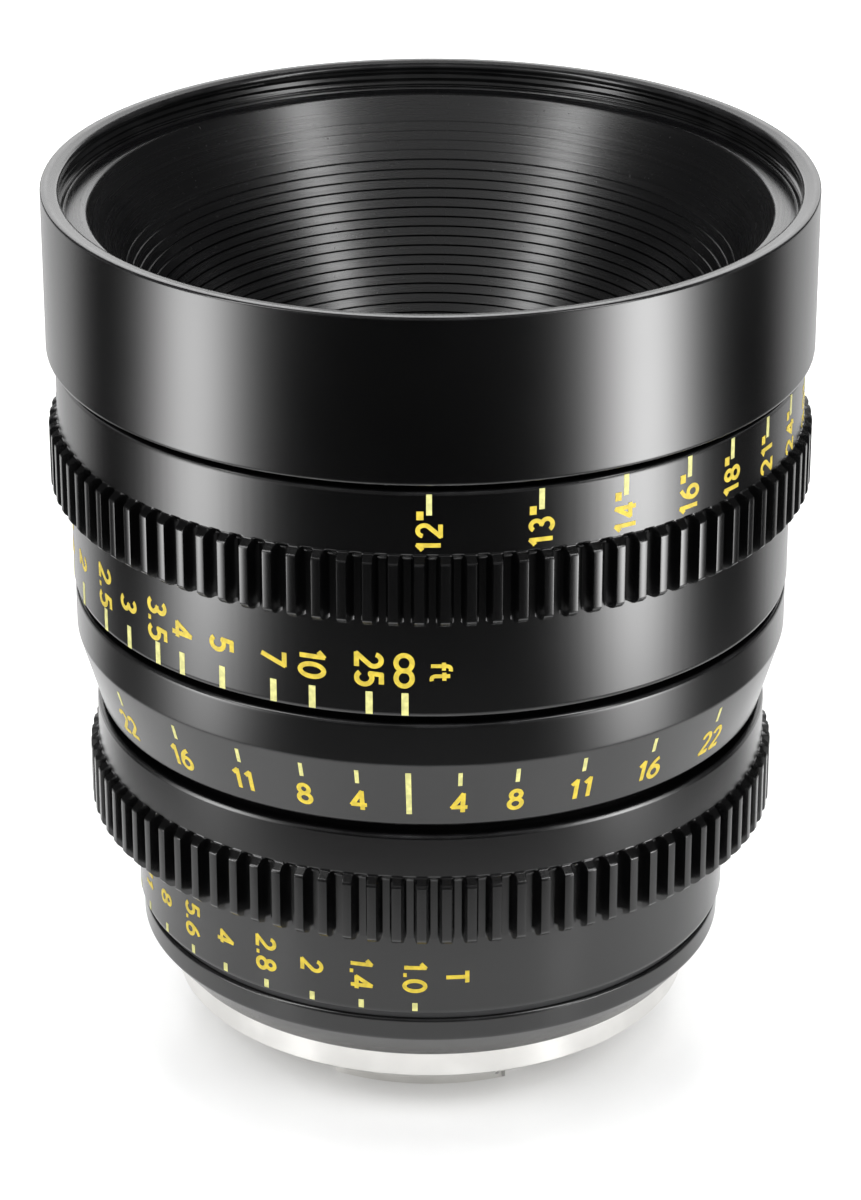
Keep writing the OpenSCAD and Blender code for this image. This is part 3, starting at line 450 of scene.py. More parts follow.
def paint_glow(board, look):
    """What the metal mirrors of the table: two bright side areas, a pale far side and a dark near side.

    Each side area is a bell curve over the azimuth from the camera, with a centre and width in degrees and a gain.
    """
    stage = bpy.context.scene.lens_stage
    radius, _, azimuth = board.polar()
    azimuth = azimuth - stage.turn
    sides = 0.0
    for centre, wide, gain in ((-67, 13, 0.95), (60, 13, 1.35)):
        off = (azimuth - math.radians(centre)) / math.radians(wide)
        sides = sides + gain * (2.718 ** (off * off * -1.0))
    rear = azimuth.math("ABSOLUTE", azimuth).step(math.radians(105), math.radians(130))
    front = 0.006 + 0.2 * (1 - radius.step(0.1, 0.2))
    peak = 2 * stage.side_glow
    bright = (front + stage.side_glow * (sides * radius.step(0.08, 0.21)) + rear) / peak
    light = board.shader(
        Base_Color=BLACK,
        Specular_IOR_Level=0.0,
        Emission_Color=board.mix(bright, BLACK, WHITE),
        Emission_Strength=peak,
    )
    board.blend(radius.step(0.07, 0.105), board.add("ShaderNodeBsdfTransparent"), light)


# Paint function and settings of each finish
FINISHES = {
    "satin_black_coat": (paint_anodised, {}),
    "dark_grey_coat": (paint_anodised, {"gain": 2.2, "rough": 0.42}),
    "satin_light_trap": (paint_baffle, {}),
    "matt_black_paint": (paint_matt, {}),
    "gold_print": (paint_print, {"tone": "gold"}),
    "pale_print": (paint_print, {"tone": "pale"}),
    "chrome_plate": (paint_metal, {"tone": "chrome", "rough": 0.16}),
    "turned_steel": (paint_metal, {"tone": "steel", "rough": 0.3}),
    "turned_brass": (paint_metal, {"tone": "brass", "rough": 0.26}),
    "graphite_washer": (paint_washer, {}),
    "blackened_blade": (paint_blade, {}),
    "red_enamel": (paint_enamel, {}),
    "coated_glass": (paint_glass, {}),
    "table_white": (paint_table, {}),
    "side_glow": (paint_glow, {}),
}


def finish(name):
    """The material of that name, made by its paint function on first use."""
    made = bpy.data.materials.get(name)
    if made is None:
        made = bpy.data.materials.new(name)
        made.use_nodes = True
        paint, settings = FINISHES[name]
        paint(Board(made.node_tree), bpy.context.scene.lens_finish, **settings)
    return made


# Surfaces


def grid_mesh(name, points, wrap_first=True, wrap_second=True, edge=None, sharp=30.0):
    """Mesh of a grid of points, joined to quads along both parameters, with the share of edge kept for the finish."""
    rows, columns = points.shape[:2]
    first = np.arange(rows if wrap_first else rows - 1)
    second = np.arange(columns if wrap_second else columns - 1)
    i, j = np.meshgrid(first, second, indexing="ij")
    k, l = (i + 1) % rows, (j + 1) % columns
    faces = np.stack([i * columns + j, i * columns + l, k * columns + l, k * columns + j], -1).reshape(-1, 4)
    return new_mesh(name, points.reshape(-1, 3), faces, edge, sharp)


def new_mesh(name, points, faces, edge=None, sharp=30.0):
    """Object made of points and quads, smooth except across edges sharper than the angle in degrees."""
    mesh = bpy.data.meshes.new(name)
    mesh.from_pydata(points, [], faces)
    if edge is not None:
        mesh.attributes.new("edge", "FLOAT", "POINT").data.foreach_set("value", np.asarray(edge, np.float32).ravel())
    mesh.shade_smooth()
    mesh.set_sharp_from_angle(angle=math.radians(sharp))
    mesh.validate()
    mesh.update()
    piece = bpy.data.objects.new(name, mesh)
    bpy.context.scene.collection.objects.link(piece)
    return piece


def rounded(corners, steps=4):
    """Closed outline whose corners (radius, height, rounding) become parabolic arcs.

    An arc leaves each side at the rounding's distance from the corner, or at two fifths of a short side, and its
    points are the usual blend of start, corner and end. A guard point beside each end keeps the sides flat.
    Returns the points and their share of edge, which is 1 in the middle of an arc and 0 outside it.
    """
    corners = np.asarray(corners, float)
    spot, cut = corners[:, :2], corners[:, 2:3]
    back, ahead = np.roll(spot, 1, 0) - spot, np.roll(spot, -1, 0) - spot
    long_back, long_ahead = (np.linalg.norm(v, axis=1, keepdims=True) for v in (back, ahead))
    short = np.minimum(long_back, long_ahead)
    cut, lead = np.minimum(cut, 0.4 * short), np.minimum(0.12 * MM, 0.08 * short)
    back, ahead = back / long_back, ahead / long_ahead
    s = np.linspace(0, 1, steps + 1)[None, :, None]
    start, end = (spot + back * cut)[:, None], (spot + ahead * cut)[:, None]
    arc = (1 - s) ** 2 * start + 2 * s * (1 - s) * spot[:, None] + s**2 * end
    points = np.concatenate([start + (back * lead)[:, None], arc, end + (ahead * lead)[:, None]], 1)
    share = np.concatenate([[0], np.sin(np.pi * s.ravel()), [0]])
    return points.reshape(-1, 2), np.tile(share, len(corners))


def revolve(outline, columns):
    """Surface of revolution: each outline point (radius, height) is carried around the optical axis."""
    angle = np.arange(columns) * 2 * np.pi / columns
    ray = np.stack([np.cos(angle), np.sin(angle), np.zeros(columns)], -1)
    up = np.array([0.0, 0.0, 1.0])
    return outline[:, None, :1] * ray[None] + outline[:, None, 1:] * up


def settle(piece, body, slot, coat, *nodes):
    """Gives a piece its finish and its body, and hides the solid parts that it stands for; the slot is not used."""
    piece.data.materials.append(finish(coat))
    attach(piece, body)
    if nodes:
        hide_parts(*nodes)


def shell(name, corners, columns, thread=None):
    """Turned ring: a rounded outline carried around the axis, with a thread cut into it if one is given."""
    outline, edge = rounded(corners)
    grid = revolve(outline, columns)
    if thread:
        grid, edge = thread(outline, edge, columns)
    return grid_mesh(name, grid, edge=np.repeat(edge, columns))


def tooth_outline(teeth, module):
    """Azimuths and radii of a whole gear, tooth by tooth.

    One tooth is a trapezoid with broken corners between two half gaps, repeated around the axis.
    """
    root, tip = module * (teeth - 2.5) / 2, module * (teeth + 2) / 2
    half = module * math.pi / 2
    foot, top, small = 0.80 * MM, 0.44 * MM, 0.09 * MM  # half widths of the tooth, and its broken corners
    slope = (foot - top) / (tip - root)
    side = np.array(
        [
            [half, root],
            [foot + small, root],
            [foot - slope * small * 1.2, root + small * 1.2],
            [(foot + top) / 2, (root + tip) / 2],
            [top + slope * small * 1.4, tip - small * 1.4],
            [top + small * 0.15, tip - small * 0.3],
            [top - small, tip],
        ]
    )
    left = np.stack([-side[:, 0], side[:, 1]], -1)
    one = np.concatenate([left, side[:0:-1]])
    azimuth = one[:, 0] / (module * teeth / 2)
    turn = np.arange(teeth)[:, None] * 2 * np.pi / teeth
    return (azimuth[None] + turn).ravel(), np.tile(one[:, 1], teeth)


def gear_rows(s, tip, low):
    """Tooth count, gap radius, band radius, end height and corners of a follow gear that starts at a height.

    The corners are those of its rear face, its chamfered tips, and the run-out of its gaps into the band before it.
    """
    teeth = round(2 * tip / s.module) - 2
    root, band, high = s.module * (teeth - 2.5) / 2, tip - s.gear_step, low + s.gear_width
    c, b = s.gear_chamfer, s.break_edge
    drop, rise, back, ahead = 0.12 * MM, 0.06 * MM, 0.04 * MM, 0.1 * MM  # run-out around the edge of the band
    rows = [
        (root, tip - c, low + LEAN, 2 * b),
        (root, tip, low + c, 2 * b),
        (root, tip, high - c, 2 * b),
        (band - drop, band + rise, high - back, b),
        (band, high + ahead, b),
    ]
    return teeth, root, band, high, rows


def geared(name, corners, teeth, module):
    """Turned ring with a gear: its outline runs between one over the gaps and one over the tooth tips.

    Corners are (gap radius, tip radius, height, rounding), or (radius, height, rounding) off the gear. At each
    azimuth a row's radius is the tooth's radius, kept between the row's gap and tip radius, and its height is
    blended by the same share.
    """
    corners = np.array([(corner[0], *corner[-3:]) for corner in corners])
    gap, edge = rounded(corners[:, [0, 2, 3]], steps=2)
    tip, edge = rounded(corners[:, [1, 2, 3]], steps=2)
    azimuth, tooth = tooth_outline(teeth, module)
    room = tip[:, :1] - gap[:, :1]
    share = np.clip((tooth[None] - gap[:, :1]) / np.maximum(room, 1e-9), 0, 1) * (room > 1e-7)
    radius = gap[:, :1] + share * room
    height = gap[:, 1:] + share * (tip[:, 1:] - gap[:, 1:])
    grid = np.stack([radius * np.cos(azimuth), radius * np.sin(azimuth), height], -1)
    # painted highlight: the rounded rows over the tooth tips get half a share of edge, which the anodised finish
    # paints lighter
    rim = np.clip((share - 0.8) * 5, 0, 1) * 0.5
    wear_and_sheen = np.where(room > 1e-7, rim * (edge[:, None] > 0.3), edge[:, None] + 0 * share)
    return grid_mesh(name, grid, edge=wear_and_sheen, sharp=34.0)


# Printed scales


def curve(cx, cy, rx, ry, start, end, count=22):
    """Points on an ellipse between two angles in degrees."""
    a = np.radians(np.linspace(start, end, count))
    return np.stack([cx + rx * np.cos(a), cy + ry * np.sin(a)], -1)


def sweep(*spots, count=12):
    """Parabolic curve from the first spot to the third, pulled towards the second."""
    a, b, c = np.asarray(spots, float)
    s = np.linspace(0, 1, count)[:, None]
    return (1 - s) ** 2 * a + 2 * s * (1 - s) * b + s**2 * c


def line(*parts):
    """Open stroke through spots and runs of points, without the spots that repeat."""
    path = np.concatenate([np.atleast_2d(np.asarray(p, float)) for p in parts])
    keep = np.linalg.norm(np.diff(path, axis=0, prepend=path[:1] + 9), axis=1) > 1e-4
    return path[keep], False


def ring(cx, cy, rx, ry, count=24):
    """Closed stroke around an ellipse."""
    return curve(cx, cy, rx, ry, 0, 345, count), True


def figures():
    """Strokes of each figure on a body one unit high: its advance and a list of (path, closed)."""
    six = [ring(0.31, 0.31, 0.245, 0.265), (sweep((0.47, 0.95), (0.1, 0.78), (0.065, 0.31)), False)]
    hook, foot = sweep((0.46, 0.92), (0.2, 0.98), (0.2, 0.68)), sweep((0.2, 0.3), (0.2, 0.02), (0.44, 0.08))
    return {
        "0": (0.72, [ring(0.31, 0.5, 0.25, 0.45)]),
        "1": (0.56, [line((0.1, 0.76), (0.31, 0.95), (0.31, 0.04))]),
        "2": (0.72, [line(curve(0.31, 0.69, 0.235, 0.26, 165, -35), (0.07, 0.05), (0.58, 0.05))]),
        "3": (0.72, [line(curve(0.29, 0.73, 0.21, 0.22, 150, -80), curve(0.29, 0.28, 0.25, 0.23, 80, -150))]),
        "4": (0.74, [line((0.45, 0.04), (0.45, 0.95), (0.05, 0.3), (0.63, 0.3))]),
        "5": (0.72, [line((0.53, 0.95), (0.15, 0.95), (0.12, 0.56), curve(0.3, 0.33, 0.255, 0.28, 125, -145))]),
        "6": (0.72, six),
        "7": (0.68, [line((0.05, 0.95), (0.56, 0.95), (0.2, 0.04))]),
        "8": (0.72, [ring(0.31, 0.73, 0.2, 0.21, 22), ring(0.31, 0.28, 0.25, 0.23)]),
        "9": (0.72, [((0.62, 1.0) - path, closed) for path, closed in six]),
        ".": (0.34, [line((0.12, 0.0), (0.12, 0.15))]),
        "8-": (1.36, [ring(x, 0.47, 0.31, 0.29) for x in (0.33, 0.93)]),
        "f": (0.5, [line(hook, (0.2, 0.04)), line((0.03, 0.62), (0.42, 0.62))]),
        "t": (0.5, [line((0.2, 0.9), foot), line((0.03, 0.64), (0.42, 0.64))]),
        "T": (0.7, [line((0.03, 0.95), (0.61, 0.95)), line((0.32, 0.95), (0.32, 0.04))]),
        '"': (0.36, [line((x, 1.0), (x, 0.72)) for x in (0.06, 0.24)]),
    }


def dense(path, closed, pace):
    """The same path with more points, none further apart than the pace, and its corners kept."""
    if closed:
        path = np.concatenate([path, path[:1]])
    along = np.concatenate([[0], np.cumsum(np.linalg.norm(np.diff(path, axis=0), axis=1))])
    stops = np.union1d(along, np.arange(0, along[-1], pace))
    stops = stops[np.concatenate([np.diff(stops) > 1e-7, [True]])]
    path = np.stack([np.interp(stops, along, path[:, i]) for i in range(2)], -1)
    return path[:-1] if closed else path


def runs(path, closed, reach_out):
    """The path cut at its corners, where it turns by more than 38 degrees. Cut ends reach on by a given length."""
    if closed:
        return [(path, True)]
    ahead = np.diff(path, axis=0)
    ahead = ahead / np.linalg.norm(ahead, axis=1, keepdims=True)
    cuts = np.flatnonzero(np.sum(ahead[1:] * ahead[:-1], 1) < math.cos(math.radians(38))) + 1
    stops = [0, *cuts, len(path) - 1]
    parts = []
    for a, b in zip(stops[:-1], stops[1:]):
        part = path[a : b + 1].copy()
        part[0] -= ahead[a] * reach_out * (a > 0)
        part[-1] += ahead[b - 1] * reach_out * (b < len(path) - 1)
        parts.append((part, False))
    return parts


def ribbon(path, closed, half):
    """Left and right border of a stroke: each point moves along the bisector of its two sides, by half the stroke's
    width over the cosine of half the turn."""
    ahead = np.roll(path, -1, 0) - path
    if not closed:
        ahead[-1] = ahead[-2]
    ahead = ahead / np.linalg.norm(ahead, axis=1, keepdims=True)
    behind = np.roll(ahead, 1, 0)
    if not closed:
        behind[0] = ahead[0]
    middle = ahead + behind
    middle = middle / np.maximum(np.linalg.norm(middle, axis=1, keepdims=True), 1e-6)
    side = np.stack([-middle[:, 1], middle[:, 0]], -1)
    out = half / np.maximum(np.sum(middle * ahead, 1, keepdims=True), 0.55)
    return path + side * out, path - side * out


class Print:
    """Strokes that lie on a cylinder or cone around the axis, gathered into one piece."""

    TURNS = {"up": (1, 0, 0, 1), "right": (0, 1, -1, 0), "left": (0, -1, 1, 0)}

    def __init__(self, radius, taper=0.0, level=0.0):
        self.radius, self.taper, self.level = radius, taper, level
        self.points, self.faces, self.count = [], [], 0
        self.scale = bpy.context.scene.lens_scales

    def stroke(self, path, closed, width, azimuth, height, layer=0):
        """One stroke: its borders are wrapped around the axis, with a top above the metal and a foot below it.

        Arc length over the radius is the azimuth, counted from -Y towards +X, and the radius may change with height.
        Strokes that cross lie on different layers.
        """
        path = dense(path, closed, 0.35 * MM)
        left, right = ribbon(path, closed, width / 2)
        flat = np.stack([right, left, left, right], 1)
        top = 1 + 0.2 * layer
        lift = np.array([top, top, -1.0, -1.0]) * self.scale.proud
        angle = azimuth + flat[..., 0] / self.radius
        z = height + flat[..., 1]
        radius = self.radius + self.taper * (z - self.level) + lift
        points = np.stack([radius * np.sin(angle), -radius * np.cos(angle), z], -1)
        n = len(path)
        k = np.arange(n if closed else n - 1)[:, None]
        j = np.arange(4)[None]
        k2, j2 = (k + 1) % n, (j + 1) % 4
        faces = np.stack([k * 4 + j, k2 * 4 + j, k2 * 4 + j2, k * 4 + j2], -1).reshape(-1, 4)
        if not closed:
            e = 4 * (n - 1)
            faces = np.concatenate([faces, [[0, 1, 2, 3], [e + 3, e + 2, e + 1, e]]])
        self.points.append(points.reshape(-1, 3))
        self.faces.append(faces + self.count)
        self.count += 4 * n

    def text(self, words, cap, azimuth, height, facing="up", spread=1.0):
        """Centred row of figures, upright or turned to read towards the rear or the front, and spread if wanted."""
        glyphs = figures()
        a, b, c, d = self.TURNS[facing]
        wide = spread * sum(glyphs[w][0] for w in words)
        at = -wide / 2 + 0.05
        for w in words:
            advance, strokes = glyphs[w]
            width = self.scale.stroke * min(1.0, cap / (2.8 * MM))
            cut = [part for path, closed in strokes for part in runs(path, closed, 0.3 * width / cap)]
            for layer, (path, closed) in enumerate(cut):
                flat = (path + (at, -0.5)) * cap
                turned = np.stack([a * flat[:, 0] + b * flat[:, 1], c * flat[:, 0] + d * flat[:, 1]], -1)
                self.stroke(turned, closed, width, azimuth, height, layer)
            at += spread * advance

    def tick(self, azimuth, low, high, width):
        """Straight mark along the axis."""
        self.stroke(np.array([[0, low], [0, high]]), False, width, azimuth, 0.0)

    def piece(self, name):
        """All strokes as one object."""
        return new_mesh(name, np.concatenate(self.points), np.concatenate(self.faces))


def printed(name, body, gold, pale):
    """Settles the figures and the ticks of a scale on a body."""
    settle(gold.piece(f"{name}_figures"), body, None, "gold_print")
    settle(pale.piece(f"{name}_ticks"), body, None, "pale_print")


def turned_by(degrees):
    """Azimuth from the index line, for an angle as seen from the camera."""
    return math.radians(degrees) + bpy.context.scene.lens_stage.turn


# Operators: one for each piece or group of like pieces


class LENS_OT_front_barrel(bpy.types.Operator):
    """Front barrel with a rounded rim and a real filter thread"""

    bl_idname = "lens.front_barrel"
    bl_label = "Front barrel"

    def execute(self, context):
        s = context.scene.lens_sizes
        ledge, seat, shoulder = FUNNEL_Z1, FUNNEL_R + 0.02 * MM, FUNNEL_Z1 - s.ledge
        wall, web, top = FRONT_R - 3 * MM, FRONT_Z0 + WEB, FRONT_Z1 - s.rim_slope
        b = s.break_edge
        corners = [
            (s.front_bore, FRONT_Z0, b),
            (FRONT_R, FRONT_Z0, s.edge),
            (FRONT_R, FRONT_Z1, s.edge * 1.2),
            (FRONT_R - s.rim_flat, FRONT_Z1, s.edge),
            (s.thread_r, top, s.edge),
            (s.thread_r, ledge, b),
            (seat, ledge, b),
            (seat, shoulder, b),
            (wall, shoulder, b),
            (wall, web, b),
            (s.front_bore, web, b),
        ]

        def thread(outline, edge, columns):
            """Rows between the rim and the ledge move outward by a triangle wave of height less share of turn."""
            low, high = ledge + 0.2 * MM, top - 0.55 * MM
            inner = np.abs(outline[:, 0] - s.thread_r) < 1e-6
            start = np.flatnonzero(inner & (outline[:, 1] > high))[-1] + 1
            z = np.linspace(high, low, THREAD_ROWS)
            rows = slice(start, start + len(z))
            outline = np.insert(outline, [start] * len(z), np.stack([np.full(len(z), s.thread_r), z], -1), 0)
            edge = np.insert(edge, [start] * len(z), THREAD_SHEEN_AND_WEAR)
            grid = revolve(outline, columns)
            turn = np.arange(columns) / columns
            wave = 1 - 2 * np.abs((z[:, None] / s.thread_pitch - turn[None]) % 1 - 0.5)
            fade = np.clip(np.minimum(z - low, high - z) / (0.15 * MM), 0, 1)[:, None]
            gain = 1 + s.thread_depth * wave * fade / s.thread_r
            grid[rows, :, :2] *= gain[..., None]
            return grid, edge

        piece = shell("front_barrel_shell", corners, s.columns, thread)
        settle(piece, "barrel", "black_anodised", "satin_black_coat", "front_barrel")
        return {"FINISHED"}


class LENS_OT_funnel(bpy.types.Operator):
    """Light-trap funnel with fine stepped grooves and a flat ledge"""

    bl_idname = "lens.funnel"
    bl_label = "Funnel baffle"

    def execute(self, context):
        s = context.scene.lens_sizes
        long = FUNNEL_Z1 - FUNNEL_Z0
        slope = (s.funnel_mouth - s.funnel_throat) / long
        half, b = s.groove_width / 2, s.break_edge

        def wall(depth, cut=0.0):
            """Points of the cone, widened near the ledge by the square of what is left of the sweep, plus the cut."""
            left = 1 - np.sqrt(np.clip(depth / s.mouth_sweep, 0, 1))
            radius = s.funnel_mouth - slope * depth + left**2 * (s.funnel_brink - s.funnel_mouth) + cut
            return np.stack([radius, FUNNEL_Z1 - depth], -1)

        mouth = wall((s.first_groove - 3 * half) * np.linspace(0, 1, 14) ** 2)
        grooves = np.arange(s.first_groove, long - s.groove_pitch, s.groove_pitch)
        depth = (grooves[:, None] + half * np.array(GROOVE_PLACES)).ravel()
        growth = np.clip(((grooves - s.first_groove) / (s.full_groove - s.first_groove)) ** 2, 0.1, 1)
        cut = s.groove_depth * np.outer(growth, GROOVE_CUT).ravel()
        # share of painted shade at each groove point, none over the mouth
        groove_shade = np.concatenate([0 * mouth[:, 0], np.outer(growth, GROOVE_SHADE).ravel()])
        under = FUNNEL_Z1 - s.ledge
        corners = [
            (s.funnel_throat, FUNNEL_Z0, b),
            (s.funnel_throat + s.funnel_wall, FUNNEL_Z0, b),
            (s.funnel_mouth + s.funnel_wall - s.ledge * slope, under, b),
            (FUNNEL_R, under, b),
            (FUNNEL_R, FUNNEL_Z1, b),
        ]
        outline, edge = rounded(corners)
        outline, edge = np.concatenate([outline, mouth, wall(depth, cut)]), np.concatenate([0 * edge, groove_shade])
        piece = grid_mesh("funnel_baffle", revolve(outline, s.columns), edge=np.repeat(edge, s.columns), sharp=40.0)
        settle(piece, "barrel", "matt_black", "satin_light_trap", "front_funnel")
        return {"FINISHED"}


class LENS_OT_focus_ring(bpy.types.Operator):
    """Focus ring with its integral follow gear"""

    bl_idname = "lens.focus_ring"
    bl_label = "Focus ring"

    def execute(self, context):
        s = context.scene.lens_sizes
        low, lip, b = FOCUS_Z0 + s.focus_gear, FOCUS_Z0 + 1.2 * MM, s.break_edge
        teeth, _, band, _, rows = gear_rows(s, FOCUS_R, low)
        corners = [
            (s.focus_lip, FOCUS_Z0, b),
            (s.focus_rear, FOCUS_Z0, s.edge),
            (s.focus_rear, low, b),
            *rows,
            (band, FOCUS_Z1, s.edge),
            (s.focus_bore, FOCUS_Z1, b),
            (s.focus_bore, lip, b),
            (s.focus_lip, lip, b),
        ]
        piece = geared("focus_ring_shell", corners, teeth, s.module)
        settle(piece, "focus", "black_anodised", "satin_black_coat", "focus_ring")
        return {"FINISHED"}


class LENS_OT_fixed_barrel(bpy.types.Operator):
    """Fixed barrel between the two rings, tapered to the rear"""

    bl_idname = "lens.fixed_barrel"
    bl_label = "Fixed barrel"

    def execute(self, context):
        s = context.scene.lens_sizes
        b, bore, seat, web = s.break_edge, s.rear_bore + 0.1 * MM, s.focus_lip - 0.08 * MM, FIXED_Z0 + WEB
        corners = [
            (bore, FIXED_Z0, b),
            (FIXED_R - s.fixed_drop, FIXED_Z0, s.edge),
            (FIXED_R, FIXED_Z0 + s.fixed_cone, 3 * b),
            (FIXED_R, FIXED_Z1, s.edge),
            (seat, FIXED_Z1, b),
            (seat, web, b),
            (bore, web, b),
        ]
        piece = shell("fixed_barrel_shell", corners, s.columns)
        settle(piece, "barrel", "black_anodised", "satin_black_coat", "main_barrel")
        return {"FINISHED"}


class LENS_OT_iris_ring(bpy.types.Operator):
    """Iris ring with scale, integral follow gear and collar"""

    bl_idname = "lens.iris_ring"
    bl_label = "Iris ring"

    def execute(self, context):
        s = context.scene.lens_sizes
        low, b = IRIS_Z0 + s.iris_gear, s.break_edge
        teeth, root, band, high, rows = gear_rows(s, IRIS_R, low)
        relief, relief_low, relief_high = root - 2 * MM, low + 1.5 * MM, high + 2 * MM
        corners = [
            (s.iris_bore, IRIS_Z0, b),
            (s.iris_scale, IRIS_Z0, s.edge),
            (s.iris_scale, low, b),
            *rows,
            (band, IRIS_Z1, s.edge),
            (s.iris_bore, IRIS_Z1, b),
            (s.iris_bore, relief_high, b),
            (relief, relief_high, b),
            (relief, relief_low, b),
            (s.iris_bore, relief_low, b),
        ]
        piece = geared("iris_ring_shell", corners, teeth, s.module)
        settle(piece, "iris", "black_anodised", "satin_black_coat", "iris_ring")
        return {"FINISHED"}


class LENS_OT_rear_barrel(bpy.types.Operator):
    """Rear barrel: taper and short wall over the mount, and the tube under the iris ring"""

    bl_idname = "lens.rear_barrel"
    bl_label = "Rear barrel"

    def execute(self, context):
        s = context.scene.lens_sizes
        wall, ground, b = REAR_Z0 + s.rear_taper, REAR_Z0 + 3.4 * MM, s.break_edge
        top = wall + s.rear_wall
        corners = [
            (s.mount_bore, REAR_Z0, b),
            (REAR_R - s.rear_drop, REAR_Z0, 2 * b),
            (REAR_R, wall, 3 * b),
            (REAR_R, top, s.edge),
            (s.rear_tube, top, b),
            (s.rear_tube, REAR_Z1, b),
            (s.rear_bore, REAR_Z1, b),
            (s.rear_bore, ground, b),
            (s.mount_bore, ground, b),
        ]
        piece = shell("rear_barrel_shell", corners, s.columns)
        settle(piece, "barrel", "black_anodised", "satin_black_coat", "rear_barrel")
        return {"FINISHED"}


def smooth_copy(node, name, degrees):
    """Copy of a solid part with its loose triangles joined, smooth except across edges sharper than the angle."""
    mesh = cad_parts[node].data.copy()
    mesh.name = name
    mesh.materials.clear()
    joined_up = bmesh.new()
    joined_up.from_mesh(mesh)
    bmesh.ops.remove_doubles(joined_up, verts=joined_up.verts, dist=1e-6)
    joined_up.to_mesh(mesh)
    joined_up.free()
    mesh.shade_smooth()
    mesh.set_sharp_from_angle(angle=math.radians(degrees))
    piece = bpy.data.objects.new(name, mesh)
    bpy.context.scene.collection.objects.link(piece)
    return piece


class LENS_OT_mount(bpy.types.Operator):
    """Plated mount with its screws, light baffle and mounting dot"""

    bl_idname = "lens.mount"
    bl_label = "Mount"

    def execute(self, context):
        for node, name, slot, coat in (
            ("bayonet_mount", "mount_flange", "chrome", "chrome_plate"),
            ("mount_screws", "flange_screws", "steel", "turned_steel"),
            ("rear_baffle", "rear_mask", "matt_black", "matt_black_paint"),
            ("index_dot", "mounting_dot", "red_dot", "red_enamel"),
        ):
            settle(smooth_copy(node, name, 25), "barrel", slot, coat, node)
        return {"FINISHED"}


class LENS_OT_focus_scale(bpy.types.Operator):
    """Figures and ticks of the focus ring, on both sides of its gear"""

    bl_idname = "lens.focus_scale"
    bl_label = "Focus scale"

    def execute(self, context):
        p, s = context.scene.lens_scales, context.scene.lens_sizes
        rear = [
            (("8-",), -3.8), ("25", -9.2), ("10", -18.0), ("7", -24.3), ("5", -33.3), ("4", -41.2), ("3.5", -46.6),
            ("3", -54.0), ("2.5", -61.5), ("2", -72.0), ("1.8", -83.0), ("1.6", -96.0), ("1.4", -112.0),
            ("1.3", -128.0), ("1.2", -145.0), ("1.1", -164.0), ("1", -183.6),
        ]
        near = [
            ('12"', -0.2), ('13"', 16.0), ('14"', 29.2), ('16"', 40.7), ('18"', 50.1), ('21"', 60.0), ('24"', 69.5),
            ('30"', 80.5), ('36"', 90.0), ("4", 103.0), ("5", 116.0), ("7", 132.0), ("10", 148.0), ("25", 164.0),
            (("8-",), 177.0),
        ]
        gold, pale = Print(s.focus_rear), Print(s.focus_rear)
        row, foot = FOCUS_Z0 + 5.1 * MM, FOCUS_Z0 + 0.2 * MM
        for words, degrees in rear:
            gold.text(words, p.focus_cap, turned_by(degrees), row, "right")
            pale.tick(turned_by(degrees), foot, foot + p.tick, p.tick_width)
        gold.text("ft", p.focus_cap * 0.8, turned_by(1.6), row, "right")
        printed("focus", "focus", gold, pale)
        band = FOCUS_R - s.gear_step
        gold, pale = Print(band), Print(band)
        for words, degrees in near:
            gold.text(words, p.front_cap, turned_by(degrees), FOCUS_Z1 - 4.25 * MM, "left", 1.12)
            pale.tick(turned_by(degrees), FOCUS_Z1 - p.tick, FOCUS_Z1 - 0.25 * MM, p.tick_width * 0.8)
        printed("near", "focus", gold, pale)
        return {"FINISHED"}


class LENS_OT_iris_scale(bpy.types.Operator):
    """Stops of the iris ring"""

    bl_idname = "lens.iris_scale"
    bl_label = "Iris scale"

    def execute(self, context):
        p, s = context.scene.lens_scales, context.scene.lens_sizes
        stops = [
            ("1.0", -2.9), ("1.4", -13.0), ("2", -22.7), ("2.8", -32.5), ("4", -42.5), ("5.6", -52.0), ("8", -62.0),
            ("11", -71.5), ("16", -81.0),
        ]
        gold, pale = Print(s.iris_scale), Print(s.iris_scale)
        row = IRIS_Z0 + 4.4 * MM
        for words, degrees in stops:
            gold.text(words, p.iris_cap, turned_by(degrees), row, "right")
            pale.tick(turned_by(degrees), IRIS_Z0 + 0.35 * MM, IRIS_Z0 + 1.3 * MM, p.tick_width * 0.8)
        gold.text("T", p.iris_cap, turned_by(4.9), row, "right")
        printed("iris", "iris", gold, pale)
        return {"FINISHED"}


class LENS_OT_depth_scale(bpy.types.Operator):
    """Depth scale of plain stop numbers on the taper of the fixed barrel"""

    bl_idname = "lens.depth_scale"
    bl_label = "Depth scale"

    def execute(self, context):
        p, s = context.scene.lens_scales, context.scene.lens_sizes
        slope = s.fixed_drop / s.fixed_cone
        row, foot, head = (FIXED_Z0 + height * MM for height in (3.0, 5.3, 7.0))
        radius = FIXED_R - s.fixed_drop + slope * (row - FIXED_Z0)
        gold, pale = Print(radius, slope, row), Print(radius, slope, row)
        for words, degrees in (("4", 8.0), ("8", 17.0), ("11", 28.0), ("16", 41.0), ("22", 56.0)):
            for azimuth in (-math.radians(degrees), math.radians(degrees)):
                gold.text(words, p.depth_cap, azimuth, row)
                pale.tick(azimuth, foot, head, p.tick_width * 0.6)
        pale.tick(0.0, FIXED_Z0 + 1.6 * MM, head, p.tick_width * 0.8)
        printed("depth", "barrel", gold, pale)
        return {"FINISHED"}


class LENS_OT_optics(bpy.types.Operator):
    """Coated glass elements with smooth surfaces"""

    bl_idname = "lens.optics"
    bl_label = "Glass"

    def execute(self, context):
        for i in range(1, 10):
            settle(smooth_copy(f"glass_{i}", f"element_{i}", 20), "cell", "glass", "coated_glass", f"glass_{i}")
        return {"FINISHED"}


